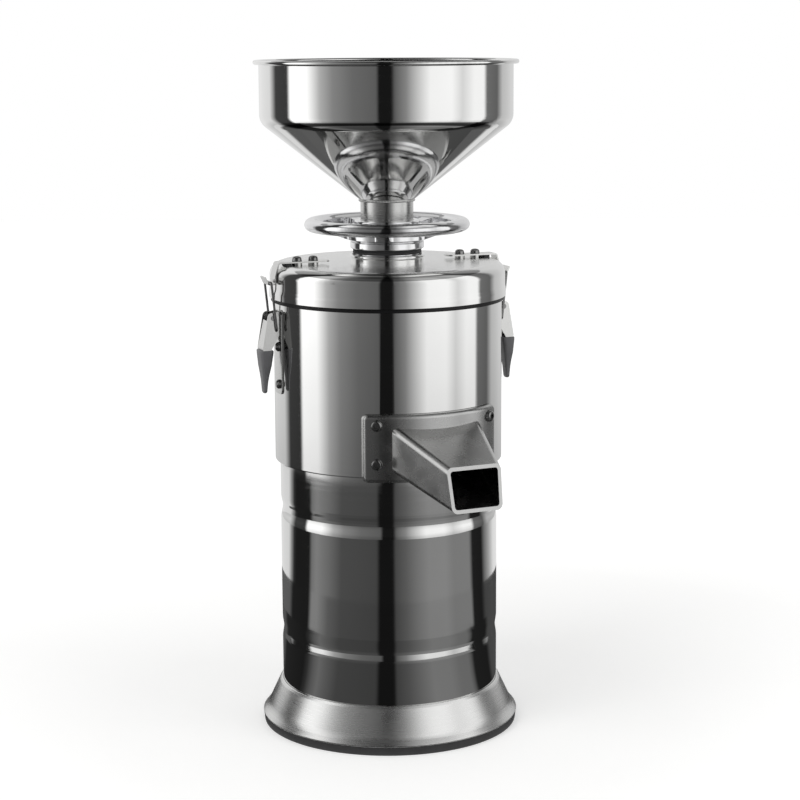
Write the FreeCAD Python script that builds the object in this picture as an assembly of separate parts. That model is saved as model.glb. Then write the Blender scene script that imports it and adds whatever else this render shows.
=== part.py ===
import FreeCAD, Part
import math
import os

# Vertical nut butter grinder: a motor stands in the lower barrel, its shaft carries
# the lower grinding disc into the upper barrel, and the upper disc hangs from the
# clamped lid.  The handwheel raises and lowers the upper disc, which sets how fine
# the butter is.  Nuts fall from the hopper through the sleeve, and the butter
# leaves through the chute.
#
# Frame: millimetres, +Z up, origin on the machine's axis at the surface it stands
# on.  The front is -Y.  Azimuth is counted from the front, positive towards +X.

os.makedirs("parts", exist_ok=True)

V = FreeCAD.Vector
ORIGIN = V(0, 0, 0)
UP = V(0, 0, 1)

# ---------------------------------------------------------------- clearances
FIT = 0.3            # between round parts that are assembled by hand
RUN = 0.05           # radial running clearance of pins, shafts and bearings
SEAT_GAP = 0.3       # between a lifted part and its seat
HOLE_GAP = 0.2       # radial, screw shank in its hole
JOIN = 1.0           # how far a tool or a blank runs past the face that it meets

# ---------------------------------------------------------------- driving sizes
CASING_R = 115.0     # outside of the lower (motor) barrel
BARREL_STEP = 5.0    # how much wider the upper (grinding) barrel is
SHEET = 1.5          # stainless sheet of both barrels and the lid
FLARE_SPREAD = 21.9  # how far the base stands out round the motor barrel
STEP_Z = 287.0       # lower edge of the upper barrel
BARREL_H = 183.0     # from there to the barrel's top edge
LID_H = 25.0         # from the barrel's top edge to the lid's top
LID_OVERHANG = 3.5   # how far the lid's skirt stands out round the barrel
SHAFT_R = 12.5
STATOR_R = 75.0
DISC_R = 64.0
NECK_R = 27.6        # outside of the hopper's neck
NECK_H = 65.0        # from the lid's top to the top of the neck
HOPPER_R = 131.5
HOPPER_H = 143.5     # from the top of the neck to the rim
WHEEL_R = 86.6
WHEEL_H = 38.6       # from the lid's top to the middle plane of the wheel's rim

# radii and heights that follow from them
BARREL_R = CASING_R + BARREL_STEP
BARREL_IN = BARREL_R - SHEET
CASING_IN = CASING_R - SHEET
BASE_R = CASING_R + FLARE_SPREAD
LID_R = BARREL_R + LID_OVERHANG
FLOOR_Z = STEP_Z + SHEET
BARREL_TOP_Z = STEP_Z + BARREL_H
LID_TOP_Z = BARREL_TOP_Z + LID_H
NECK_TOP_Z = LID_TOP_Z + NECK_H
RIM_Z = NECK_TOP_Z + HOPPER_H
WHEEL_Z = LID_TOP_Z + WHEEL_H

# foot and base
FOOT_H = 9.0
FOOT_W = 24.6        # width of the rubber ring
FOOT_LIP_H = 3.0
FOOT_LIP_IN = 8.8    # from the ring's outside to its lip
FOOT_R = BASE_R - 0.3
FOOT_IN_R = FOOT_R - FOOT_W
LIP_R = FOOT_R - FOOT_LIP_IN
FLARE_EDGE_H = 1.5   # upright edge above the rubber
FLARE_KNEE = (5.9, 17.5)        # inwards from the widest radius, and height
FLARE_KNEE_R = 25.0
FLARE_SHOULDER = (3.3, 44.0)    # outwards from the casing's hole, and height
FLARE_TOP = (1.5, 46.5)
FLARE_WALL = 7.0
RELIEF_TOP_Z = 31.0
RELIEF_DRAFT = 4.0
LEDGE_W = 15.0       # inside the casing, under its edge
LEDGE_Z = 14.0
LEDGE_T = 4.0
LEDGE_TOP = LEDGE_Z + LEDGE_T
LEDGE_IN_R = CASING_R - LEDGE_W
PLATE_T = 2.0
PLATE_SCREW_R = LEDGE_IN_R + 5.0
PLATE_SCREWS = 6
M5_R = 2.5
M4_R = 2.0
VENT_RINGS = (35.0, 55.0, 75.0)
VENT_W = 5.0
VENT_SHARE = 0.64    # how much of each ring is open

# casing grooves: middle height and depth of each, and their half height
GROOVES = ((103.5, 1.7), (STEP_Z - 51.0, 2.4))
GROOVE_HALF = 10.5
GROOVE_SHOULDER_R = 26.0
GROOVE_BOTTOM_R = 22.0

# chamber
FLOOR_T = 8.0
FLOOR_TOP = FLOOR_Z + FLOOR_T
SEAL_R = SHAFT_R + 11.5
SEAL_H = 12.0
BOSS_R = SEAL_R + 10.0
BOSS_TOP_Z = FLOOR_TOP + 33.5

# chute: outward distances are from the barrel, heights from the barrel's lower edge
CHUTE_AZ = 25.0
CHUTE_GASKET_T = 1.0
BARREL_FACE = BARREL_R + CHUTE_GASKET_T
CHUTE_FLANGE_T = 5.5
CHUTE_FACE = BARREL_FACE + CHUTE_FLANGE_T
CHUTE_FLANGE_HALF = 73.8
CHUTE_FLANGE_Z = (STEP_Z - 3.6, STEP_Z + 66.2)
CHUTE_FLANGE_CORNER = 5.0
CHUTE_FLANGE_EDGE = 4.2
CHUTE_ROOT = (BARREL_R - 3.5, 49.3, STEP_Z + 6.1, STEP_Z + 54.0)    # outward, half width, low, high
CHUTE_MOUTH_LOW = (BARREL_R + 89.0, STEP_Z - 18.5)                  # outward and height of the lower lip
CHUTE_MOUTH_HIGH = (BARREL_R + 79.6, STEP_Z + 26.2)
CHUTE_MOUTH_HALF = 28.7
CHUTE_WALL = 3.5
CHUTE_CORNER = 6.0
CHUTE_CORE_CORNER = 3.0
CHUTE_CORE_IN = 24.0            # how far inside the barrel the duct's hollow starts
CHUTE_SCREW_AZ = 30.0
CHUTE_SCREW_Z = (STEP_Z + 16.0, STEP_Z + 55.6)
CHUTE_SCREW_HEAD = (6.0, 4.2)   # radius and height
CHUTE_SCREW_TIP = 3.0           # inside the barrel
GASKET_INSET = 2.0

# motor
STATOR_H = 100.0
STATOR_TOP_Z = FLOOR_Z - 58.5
STATOR_Z = (STATOR_TOP_Z - STATOR_H, STATOR_TOP_Z)
ROTOR_R = SHAFT_R + 27.5
AIR_GAP = 0.5
STATOR_SLOTS = 12
STATOR_SLOT = (7.0, 22.0)       # width and depth
WINDING_H = 22.0
WINDING_R = (ROTOR_R + 6.0, STATOR_R - 5.0)
RING_IN = 12.0                  # the rotor's end rings, from its outside inwards
RING_H = 8.0
BRACKET_T = 4.7
BRACKET_PLATE_T = 8.0
BRACKET_LAP = 12.0
BRACKET_VENT_R = 9.0
BRACKET_VENTS = 8
LOWER_BRACKET_Z = STATOR_Z[0] - 30.0
BEARING_R = SHAFT_R + 13.5
BEARING_H = 15.0
BEARING_RACE = 4.0
POCKET_WALL = 6.0
LOWER_BEARING_Z = LOWER_BRACKET_Z - 8.0
UPPER_BEARING_Z = FLOOR_Z - 30.5
TIE_R = STATOR_R + FIT + BRACKET_T + 8.0
TIE_EAR_HALF = 8.0
TIE_BOLT_R = 3.0
TIE_BOLTS = 4
TIE_TURN = 45.0
TIE_HEAD_R = 6.0
TIE_HEAD_H = 4.0
TIE_NUT_HALF = 5.0
SHAFT_BOTTOM_Z = LOWER_BEARING_Z - 34.0
SHAFT_HOLE_R = SHAFT_R + 2.0
FAN_R = STATOR_R - 5.0
FAN_Z = SHAFT_BOTTOM_Z + 4.0
FAN_H = 18.0
FAN_HUB_R = SHAFT_R + 7.5
FAN_BLADES = 8
FAN_SHEET = 2.0
CAP_AT = 80.0        # run capacitor: distance from the axis, azimuth, radius, height
CAP_AZ = -110.0
CAP_R = 15.0
CAP_H = 40.0
CUP_T = 1.7
CUP_H = 18.0
BLOCK = (44.0, 18.0, 16.0)      # terminal block
BLOCK_AT = 86.0
BLOCK_AZ = 140.0
BLOCK_PITCH = 14.0
BLOCK_HOLE_R = 3.0

# grinding head
DISC_BORE_R = 26.0
DISC_T = 14.0
DISC_LEAD = 8.0      # width of the slope round the bore
GRIND_GAP = 1.0
DISC_GROOVES = 12
DISC_GROOVE = (3.0, 2.5, 24.0)  # width, depth and slant in degrees
DISC_SCREW_R = DISC_R - 10.0
STUB_R = SHAFT_R - 2.5
THREAD_R = STUB_R - 2.0
NUT_HALF = THREAD_R + 4.0
NUT_H = 8.0
CARRIER_R = BARREL_IN - 18.5
CARRIER_T = 6.0
CARRIER_HUB_R = STUB_R + 10.0
CARRIER_HUB_Z = BOSS_TOP_Z + 2.0
LOWER_DISC_Z = CARRIER_HUB_Z + 19.0
SOCKET_H = 6.0       # rim round the lower disc
SOCKET_WALL = 4.0
WIPER_Z = FLOOR_TOP + 1.5
WIPER_R = (DISC_R - 2.0, BARREL_IN - CHUTE_SCREW_TIP - 2.5)
WIPER_HALF = 1.5
WIPERS = 3
DISC_TOP = LOWER_DISC_Z + DISC_T
UPPER_DISC_Z = DISC_TOP + GRIND_GAP
SLEEVE_BOTTOM_Z = UPPER_DISC_Z + DISC_T

# adjusting sleeve and lid bearing
SLEEVE_R = NECK_R + FIT + 5.1
SLEEVE_BORE_R = NECK_R - 3.6
SLEEVE_SEAT_Z = LID_TOP_Z + 5.0
SLEEVE_TOP_Z = LID_TOP_Z + 35.0
SLEEVE_FLANGE_R = DISC_R + 2.0
SLEEVE_FLANGE_T = 8.0
SPIGOT_R = SLEEVE_R + 1.6
SPIGOT_BOTTOM_Z = LID_TOP_Z - 15.0
SPIGOT_ROOM = 4.0
LID_BORE_Z = LID_TOP_Z - 55.0
LID_TUBE_R = SLEEVE_R + 8.0
LID_NECK_R = SPIGOT_R + FIT + 1.3
LID_NECK_Z = LID_TOP_Z + 7.5
LID_COLLAR_Z = LID_TOP_Z + 8.0
COLLAR_FOOT_R = LID_NECK_R + FIT + 1.5
COLLAR_R = LID_NECK_R + FIT + 2.8
LID_CORNER = 12.0
LID_EDGE_Z = BARREL_TOP_Z - 10.0
LID_JOGGLE_Z = BARREL_TOP_Z - 4.0
LID_JOGGLE_H = 4.0
LID_JOGGLE = 0.8
LID_JOGGLE_R = 10.0
LID_PLATE_T = 8.0
LID_PLATE_R = BARREL_IN - 3.0
LID_RIBS = 6
LID_RIB = (5.0, 18.0, 20.0)     # width, height and azimuth of the first
GASKET_H = 3.0
GASKET_LIP = 4.4     # how far it shows below the lid

# handwheel
HUB_R = SLEEVE_R + 5.7
HUB_Z = (LID_TOP_Z + 14.0, LID_TOP_Z + 28.0)
HUB_STEP_Z = LID_TOP_Z + 20.5
HUB_STEP = 1.3
HUB_COLLAR_R = SLEEVE_R + 1.5
HUB_TOP_Z = LID_TOP_Z + 43.5
RIM_W = 16.4
RIM_H = 13.4
SPOKES = 5
SPOKE_W = 13.0
SPOKE_T = 7.0
SPOKE_TURN = -4.0
SPOKE_DROP = 5.5     # from the hub's shoulder down to the underside of the spokes
WINDOW_R = (HUB_R + 5.3, WHEEL_R - RIM_W - 2.2)
WINDOW_CORNER = 5.0
WHEEL_SEAL_H = 5.0
WHEEL_SEAL_R = SPIGOT_R + 1.8

# hopper
HOPPER_SHEET = 1.2
HOPPER_LIP = 5.8
HOPPER_BEAD = 4.6    # height of the wired edge
HOPPER_KNEE_Z = NECK_TOP_Z + 80.0
HOPPER_KNEE_R = 16.0
CONE_BEAD = 1.6

# latches, in the latch's own plane: outward distance and height
LATCH_AZ = (-70.0, 110.0)
LATCH_PIVOT = (BARREL_R + 8.0, BARREL_TOP_Z - 28.0)
BAIL_PIVOT = (BARREL_R + 5.3, BARREL_TOP_Z - 41.0)
BAIL_HOOK = (LID_R + 7.0, LID_TOP_Z - 16.0)
BAIL_WIRE_R = 1.25
BAIL_HALF = 12.4
BAIL_BEND = 2.5
LATCH_PLATE_Z = (BARREL_TOP_Z - 108.0, BARREL_TOP_Z - 21.0)
LATCH_PLATE_HALF = 12.0
LATCH_SHEET = 1.5
LATCH_FACE = BARREL_R + LATCH_SHEET
LATCH_PIN_R = 2.0
LATCH_SCREW_Z = (BARREL_TOP_Z - 97.5, BARREL_TOP_Z - 58.5)
LATCH_SCREW_SIDE = 5.0
LEVER_HALF = 10.3
LEVER_TIP_HALF = 4.5
LEVER_H = 78.5
EAR_GAP = 0.3
KEEPER_HALF = 8.5
KEEPER_LIFT = 2.6    # spacers under the strap
KEEPER_LOW = LID_TOP_Z + KEEPER_LIFT
KEEPER_IN = LID_R - 58.5
KEEPER_BEND_R = 3.0
KEEPER_SCREW_R = (LID_R - 42.0, LID_R - 24.5)
KEEPER_SPACER_R = 5.5
KEEPER_PAD = (LID_R - 17.0, LID_R - 10.2)       # inner and outer end of the rubber pad

# switch and cord gland, at the back
SWITCH_Z = 165.0
SWITCH_HALF = (13.0, 18.0)
SWITCH_BEZEL = 4.0
SWITCH_STAND = 3.0
SWITCH_DEPTH = 16.0
SWITCH_WELL = 13.0
ROCKER_HALF = (9.0, 13.0)
ROCKER_PIVOT = CASING_R - 4.0
ROCKER_PIN_R = 1.5
ROCKER_TILT = 8.0
GLAND_Z = 72.0
GLAND_R = 8.0
GLAND_ROOT = CASING_R - 12.0
GLAND_NUT_HALF = 11.2
CORD_HOLE_R = 4.2


# ---------------------------------------------------------------- helpers
def outline(points, place):
    """Closed wire through (a, b[, corner radius]) points, put in space by place(a, b)."""
    joints = []
    count = len(points)
    for index, point in enumerate(points):
        radius = point[2] if len(point) > 2 else 0.0
        bx, by = point[0], point[1]
        if radius <= 0:
            joints.append(((bx, by), None, (bx, by)))
            continue
        ax, ay = points[index - 1][:2]
        cx, cy = points[(index + 1) % count][:2]
        before = math.hypot(ax - bx, ay - by)
        after = math.hypot(cx - bx, cy - by)
        ux, uy = (ax - bx) / before, (ay - by) / before
        wx, wy = (cx - bx) / after, (cy - by) / after
        half = 0.5 * math.acos(ux * wx + uy * wy)
        reach = radius / math.tan(half)
        mx, my = ux + wx, uy + wy
        size = math.hypot(mx, my)
        away = radius / math.sin(half) - radius
        middle = (bx + mx / size * away, by + my / size * away)
        start = (bx + ux * reach, by + uy * reach)
        end = (bx + wx * reach, by + wy * reach)
        joints.append((start, middle, end))
    edges = []
    for index, (start, middle, end) in enumerate(joints):
        last = joints[index - 1][2]
        if math.hypot(start[0] - last[0], start[1] - last[1]) > 1e-6:
            edges.append(Part.LineSegment(place(*last), place(*start)).toShape())
        if middle:
            edges.append(Part.Arc(place(*start), place(*middle), place(*end)).toShape())
    return Part.Wire(edges)


def turned(points):
    """Solid of revolution about Z from (radius, height[, corner radius]) points."""
    face = Part.Face(outline(points, lambda r, z: V(r, 0, z)))
    return face.revolve(ORIGIN, UP, 360)


def ring(inner, outer, low, high):
    solid = Part.makeCylinder(outer, high - low, V(0, 0, low))
    if inner > 0:
        solid = solid.cut(Part.makeCylinder(inner, high - low, V(0, 0, low)))
    return solid


def rod(radius, start, end):
    """Cylinder between two points."""
    line = end - start
    return Part.makeCylinder(radius, line.Length, start, line)


def spun(shape, azimuth):
    """Turn a shape that was made at the front to an azimuth."""
    turned_shape = shape.copy()
    turned_shape.rotate(ORIGIN, UP, azimuth)
    return turned_shape


def around(shape, count, first=0.0):
    return [spun(shape, first + 360.0 * k / count) for k in range(count)]


def side_plate(points, x0, x1):
    """Plate cut to (outward, height) points and standing between two x values."""
    face = Part.Face(outline(points, lambda d, z: V(x0, -d, z)))
    return face.extrude(V(x1 - x0, 0, 0))


def front_plate(points, d0, d1):
    """Block cut to (x, height) points, from one outward distance to another."""
    face = Part.Face(outline(points, lambda x, z: V(x, -d0, z)))
    return face.extrude(V(0, d0 - d1, 0))


def floor_plate(points, low, high):
    """Block cut to (x, y) points between two heights."""
    face = Part.Face(outline(points, lambda x, y: V(x, y, low)))
    return face.extrude(V(0, 0, high - low))


def folded(path, thickness):
    """Closed outline of a bent strip: its path, and a copy one thickness to its left."""
    far = []
    for index, point in enumerate(path):
        before = path[max(index - 1, 0)]
        after = path[min(index + 1, len(path) - 1)]
        ways = [(b[0] - a[0], b[1] - a[1]) for a, b in ((before, point), (point, after)) if a is not b]
        ways = [(x / math.hypot(x, y), y / math.hypot(x, y)) for x, y in ways]
        (ax, ay), (bx, by) = ways[0], ways[-1]
        share = thickness / (1.0 + ax * bx + ay * by)
        turn = 1.0 if ax * by - ay * bx > 0 else -1.0
        radius = point[2] - turn * thickness if len(point) > 2 else 0.0
        far.append((point[0] - (ay + by) * share, point[1] + (ax + bx) * share, radius))
    return list(path) + far[::-1]


def rectangle(half, low, high, corner):
    return [(-half, low, corner), (half, low, corner), (half, high, corner), (-half, high, corner)]


def pan_screw(head_r, head_h, shank_r, length):
    """Pan-head screw standing on z = 0, its shank below."""
    head = turned([(0, 0), (head_r, 0, 0.3), (head_r * 0.86, head_h, head_h * 0.55), (0, head_h)])
    socket = floor_plate(
        [(head_r * 0.45 * math.cos(math.radians(60 * k)), head_r * 0.45 * math.sin(math.radians(60 * k)))
         for k in range(6)], head_h * 0.45, head_h + 1.0)
    shank = Part.makeCylinder(shank_r, length, V(0, 0, -length))
    return head.cut(socket).fuse(shank)


def standing(shape, outward, height):
    """Lay a part made along +Z on the front, so that it points outwards."""
    laid = shape.copy()
    laid.rotate(ORIGIN, V(1, 0, 0), 90)
    laid.translate(V(0, -outward, height))
    return laid


def placed(shape, x, y, z):
    moved = shape.copy()
    moved.translate(V(x, y, z))
    return moved


def export(name, shapes):
    solids = []
    for shape in shapes if isinstance(shapes, list) else [shapes]:
        solids.extend(shape.Solids)
    shape = solids[0] if len(solids) == 1 else Part.makeCompound(solids)
    shape.exportStep("parts/%s.step" % name)
    print("%-24s solids %2d  volume %10.1f  valid %s" % (
        name, len(solids), shape.Volume, all(s.isValid() for s in solids)))


# ---------------------------------------------------------------- base
def foot_ring():
    return turned([
        (FOOT_IN_R, 0, 1.0), (FOOT_R - 1.0, 0, 1.0), (FOOT_R, FOOT_H), (LIP_R, FOOT_H),
        (LIP_R, FOOT_H + FOOT_LIP_H), (FOOT_IN_R, FOOT_H + FOOT_LIP_H)])


def plate_screw_holes(low, high):
    hole = Part.makeCylinder(M5_R + HOLE_GAP, high - low, V(0, -PLATE_SCREW_R, low))
    return around(hole, PLATE_SCREWS, 180.0 / PLATE_SCREWS)


def base_flare():
    """Flared cast base: a toe over the rubber, a long slope and a lip round the casing."""
    groove = LIP_R + FIT
    bore = CASING_R + FIT
    knee_r = BASE_R - FLARE_KNEE[0]
    body = turned([
        (groove, FOOT_H), (BASE_R, FOOT_H, 1.0), (BASE_R, FOOT_H + FLARE_EDGE_H, 0.45),
        (knee_r, FLARE_KNEE[1], FLARE_KNEE_R), (bore + FLARE_SHOULDER[0], FLARE_SHOULDER[1], 1.2),
        (bore + FLARE_TOP[0], FLARE_TOP[1], 0.8), (bore, FLARE_TOP[1]), (bore, LEDGE_TOP),
        (LEDGE_IN_R, LEDGE_TOP), (LEDGE_IN_R, LEDGE_Z), (groove, LEDGE_Z)])
    relief_r = knee_r - FLARE_WALL
    relief = turned([
        (bore - HOLE_GAP, LEDGE_TOP), (relief_r, LEDGE_TOP, 2.0), (relief_r - RELIEF_DRAFT, RELIEF_TOP_Z, 2.0),
        (bore - HOLE_GAP, RELIEF_TOP_Z)])
    body = body.cut(relief)
    for tool in plate_screw_holes(LEDGE_Z, LEDGE_TOP):
        body = body.cut(tool)
    return body


def bottom_plate():
    low = LEDGE_Z - PLATE_T
    plate = ring(0, LIP_R, low, LEDGE_Z)
    tools = plate_screw_holes(low, LEDGE_Z)
    for index, radius in enumerate(VENT_RINGS):
        count = 6 + 3 * index
        span = math.radians(180.0 / count * VENT_SHARE)
        slot = ring(radius - VENT_W / 2, radius + VENT_W / 2, low, LEDGE_Z)
        reach = radius * 2
        wedge = floor_plate([(0, 0), (reach * math.sin(span), -reach * math.cos(span)),
                             (-reach * math.sin(span), -reach * math.cos(span))], low, LEDGE_Z)
        tools += around(slot.common(wedge), count)
    return plate.cut(Part.makeCompound(tools))


def base_screws():
    screw = pan_screw(4.5, 2.8, M5_R, PLATE_T + LEDGE_T)
    screw.rotate(ORIGIN, V(1, 0, 0), 180)
    return around(placed(screw, 0, -PLATE_SCREW_R, LEDGE_Z - PLATE_T), PLATE_SCREWS, 180.0 / PLATE_SCREWS)


# ---------------------------------------------------------------- barrels
def casing_profile(radius, low, high):
    """Points up one side of the grooved barrel."""
    points = [(radius, low)]
    for middle, depth in GROOVES:
        points += [(radius, middle - GROOVE_HALF, GROOVE_SHOULDER_R),
                   (radius - depth, middle, GROOVE_BOTTOM_R),
                   (radius, middle + GROOVE_HALF, GROOVE_SHOULDER_R)]
    points.append((radius, high))
    return points


def switch_hole(margin, inner, outer):
    half, tall = SWITCH_HALF
    points = rectangle(half + margin, SWITCH_Z - tall - margin, SWITCH_Z + tall + margin, 2.0)
    return spun(front_plate(points, inner, outer), 180)


def motor_casing():
    outside = casing_profile(CASING_R, LEDGE_TOP, FLOOR_Z)
    inside = casing_profile(CASING_IN, LEDGE_TOP, FLOOR_Z)
    shell = turned(outside + inside[::-1])
    inner, outer = CASING_R - 10.0, CASING_R + 10.0
    gland = spun(rod(GLAND_R + HOLE_GAP, V(0, -inner, GLAND_Z), V(0, -outer, GLAND_Z)), 180)
    return shell.cut(switch_hole(FIT, inner, outer)).cut(gland)


def chute_section(outward):
    """Half width, low and high of the duct's outside at an outward distance."""
    root, half, low, high = CHUTE_ROOT
    mean = 0.5 * (CHUTE_MOUTH_LOW[0] + CHUTE_MOUTH_HIGH[0])
    run = outward - root
    return (half + (CHUTE_MOUTH_HALF - half) * run / (mean - root),
            low + (CHUTE_MOUTH_LOW[1] - low) * run / (CHUTE_MOUTH_LOW[0] - root),
            high + (CHUTE_MOUTH_HIGH[1] - high) * run / (CHUTE_MOUTH_HIGH[0] - root))


def duct(inset, corner, start, end):
    wires = []
    for outward in (start, end):
        half, low, high = chute_section(outward)
        points = rectangle(half - inset, low + inset, high - inset, corner)
        wires.append(outline(points, lambda x, z, d=outward: V(x, -d, z)))
    return Part.makeLoft(wires, True, True)


def chute_core():
    return duct(CHUTE_WALL, CHUTE_CORE_CORNER, BARREL_R - CHUTE_CORE_IN, CHUTE_MOUTH_LOW[0] + 6.0)


def chute_screw_holes(radius, inner, outer):
    holes = []
    for height in CHUTE_SCREW_Z:
        hole = rod(radius, V(0, -inner, height), V(0, -outer, height))
        holes += [spun(hole, -CHUTE_SCREW_AZ), spun(hole, CHUTE_SCREW_AZ)]
    return holes


def front_patch(sheet, half, low, high, corner):
    """Rounded rectangle cut out of a ring, at its front."""
    outer = sheet.BoundBox.YLength / 2
    return sheet.common(front_plate(rectangle(half, low, high, corner), outer / 2, outer + JOIN))


def chute():
    low, high = CHUTE_FLANGE_Z
    sheet = ring(BARREL_FACE, CHUTE_FACE, low - JOIN, high + JOIN)
    flange = front_patch(sheet, CHUTE_FLANGE_HALF, low, high, CHUTE_FLANGE_CORNER)
    rim = []
    for edge in flange.Edges:
        radii = [math.hypot(v.X, v.Y) for v in edge.Vertexes]
        if all(abs(r - CHUTE_FACE) < 0.01 for r in radii):
            rim.append(edge)
    flange = flange.makeFillet(CHUTE_FLANGE_EDGE, rim)
    (low_d, low_z), (high_d, high_z) = CHUTE_MOUTH_LOW, CHUTE_MOUTH_HIGH
    reach = 20.0
    lean = (low_d - high_d) / (high_z - low_z) * reach
    beyond = side_plate([
        (low_d + lean, low_z - reach), (low_d + 2 * reach, low_z - reach),
        (low_d + 2 * reach, high_z + reach), (high_d - lean, high_z + reach)],
        -CHUTE_ROOT[1], CHUTE_ROOT[1])
    outside = duct(0.0, CHUTE_CORNER, BARREL_R - reach, low_d + 6.0).cut(beyond)
    outside = outside.cut(ring(0, BARREL_FACE, low_z - reach, high + reach))
    body = flange.fuse(outside).cut(chute_core())
    for hole in chute_screw_holes(M5_R + HOLE_GAP, BARREL_R - reach, BARREL_R + reach):
        body = body.cut(hole)
    return spun(body, CHUTE_AZ)


def chute_gasket():
    high = CHUTE_FLANGE_Z[1] - GASKET_INSET
    low = STEP_Z + GASKET_INSET
    sheet = ring(BARREL_R, BARREL_FACE, low, high)
    half = CHUTE_FLANGE_HALF - GASKET_INSET
    body = front_patch(sheet, half, CHUTE_FLANGE_Z[0] + GASKET_INSET, high, CHUTE_FLANGE_CORNER - GASKET_INSET)
    body = body.cut(chute_core())
    for hole in chute_screw_holes(M5_R + HOLE_GAP, BARREL_R - 20.0, BARREL_R + 20.0):
        body = body.cut(hole)
    return spun(body, CHUTE_AZ)


def chute_screws():
    shank = CHUTE_FACE - BARREL_IN + CHUTE_SCREW_TIP
    screws = []
    for height in CHUTE_SCREW_Z:
        screw = standing(pan_screw(*CHUTE_SCREW_HEAD, M5_R, shank), CHUTE_FACE, height)
        screws += [spun(screw, CHUTE_AZ - CHUTE_SCREW_AZ), spun(screw, CHUTE_AZ + CHUTE_SCREW_AZ)]
    return screws


def grinding_barrel():
    shell = turned([
        (CASING_R + FIT, STEP_Z), (BARREL_R, STEP_Z, 1.4), (BARREL_R, BARREL_TOP_Z),
        (BARREL_IN, BARREL_TOP_Z), (BARREL_IN, FLOOR_Z), (CASING_R + FIT, FLOOR_Z)])
    tools = [spun(chute_core(), CHUTE_AZ)]
    inner, outer = BARREL_R - 20.0, BARREL_R + 20.0
    tools += [spun(hole, CHUTE_AZ) for hole in chute_screw_holes(M5_R + HOLE_GAP, inner, outer)]
    tools += [spun(hole, azimuth) for azimuth in LATCH_AZ for hole in latch_screw_holes(inner, outer)]
    for tool in tools:
        shell = shell.cut(tool)
    return shell


def chamber_floor():
    body = turned([
        (SEAL_R, FLOOR_Z), (BARREL_IN - FIT, FLOOR_Z), (BARREL_IN - FIT, FLOOR_TOP, 1.0),
        (BOSS_R + 8.0, FLOOR_TOP, 6.0), (BOSS_R, BOSS_TOP_Z - SEAL_H, 4.0), (BOSS_R - 2.0, BOSS_TOP_Z, 1.5),
        (SEAL_R, BOSS_TOP_Z), (SEAL_R, BOSS_TOP_Z - SEAL_H), (SHAFT_HOLE_R, BOSS_TOP_Z - SEAL_H),
        (SHAFT_HOLE_R, BOSS_TOP_Z - SEAL_H - 4.0), (SEAL_R, BOSS_TOP_Z - SEAL_H - 4.0)])
    sink_z = FLOOR_TOP - TIE_HEAD_H - SEAT_GAP
    sink = Part.makeCylinder(TIE_HEAD_R + FIT, TIE_HEAD_H + 1.0, V(0, -TIE_R, sink_z))
    for tool in tie_bolt_holes(FLOOR_Z, FLOOR_TOP) + around(sink, TIE_BOLTS, TIE_TURN):
        body = body.cut(tool)
    return body


def shaft_seal():
    low = BOSS_TOP_Z - SEAL_H
    return turned([
        (SHAFT_R + RUN, low), (SEAL_R, low), (SEAL_R, BOSS_TOP_Z + 1.0, 1.0), (SHAFT_R + 4.0, BOSS_TOP_Z + 1.0),
        (SHAFT_R + 2.5, low + 4.0), (SHAFT_R + RUN, low + 4.0)])


# ---------------------------------------------------------------- motor
def tie_bolt_holes(low, high):
    hole = Part.makeCylinder(TIE_BOLT_R + HOLE_GAP, high - low, V(0, -TIE_R, low))
    return around(hole, TIE_BOLTS, TIE_TURN)


def bracket_ears(low, high):
    ear = floor_plate(rectangle(TIE_EAR_HALF, -TIE_R - TIE_EAR_HALF, -STATOR_R - 2.0, 0.0), low, high)
    return around(ear, TIE_BOLTS, TIE_TURN)


def motor_bracket(plate_low, plate_high, skirt_low, skirt_high, bearing_low):
    """End bracket: plate, skirt round the stator's end, and a bearing pocket."""
    inner = STATOR_R + FIT
    outer = inner + BRACKET_T
    bearing_high = bearing_low + BEARING_H
    body = ring(0, outer, plate_low, plate_high).fuse(ring(inner, outer, skirt_low, skirt_high))
    body = body.fuse(ring(0, BEARING_R + POCKET_WALL, min(plate_low, bearing_low), max(plate_high, bearing_high)))
    middle = 0.5 * (BEARING_R + POCKET_WALL + STATOR_R)
    for ear in bracket_ears(plate_low, plate_high):
        body = body.fuse(ear)
    body = body.cut(ring(0, BEARING_R, bearing_low, bearing_high))
    body = body.cut(ring(0, SHAFT_HOLE_R, plate_low - 40, plate_high + 40))
    for hole in tie_bolt_holes(plate_low, plate_high):
        body = body.cut(hole)
    vent = Part.makeCylinder(BRACKET_VENT_R, plate_high - plate_low, V(0, -middle, plate_low))
    for tool in around(vent, BRACKET_VENTS):
        body = body.cut(tool)
    return body


def upper_end_bracket():
    return motor_bracket(FLOOR_Z - BRACKET_PLATE_T, FLOOR_Z, STATOR_Z[1] - BRACKET_LAP, FLOOR_Z - BRACKET_PLATE_T,
                         UPPER_BEARING_Z)


def lower_end_bracket():
    low = LOWER_BRACKET_Z
    return motor_bracket(low, low + BRACKET_PLATE_T, low + BRACKET_PLATE_T, STATOR_Z[0] + BRACKET_LAP,
                         LOWER_BEARING_Z)


def bearing(low):
    """Ball bearing: two races with a shield between them, bored to run on the shaft."""
    high = low + BEARING_H
    bore = SHAFT_R + RUN
    inner, outer = SHAFT_R + BEARING_RACE, BEARING_R - BEARING_RACE
    dish = 1.0
    return turned([
        (bore, low), (inner, low), (inner, low + dish), (outer, low + dish), (outer, low), (BEARING_R, low),
        (BEARING_R, high), (outer, high), (outer, high - dish), (inner, high - dish), (inner, high), (bore, high)])


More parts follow.
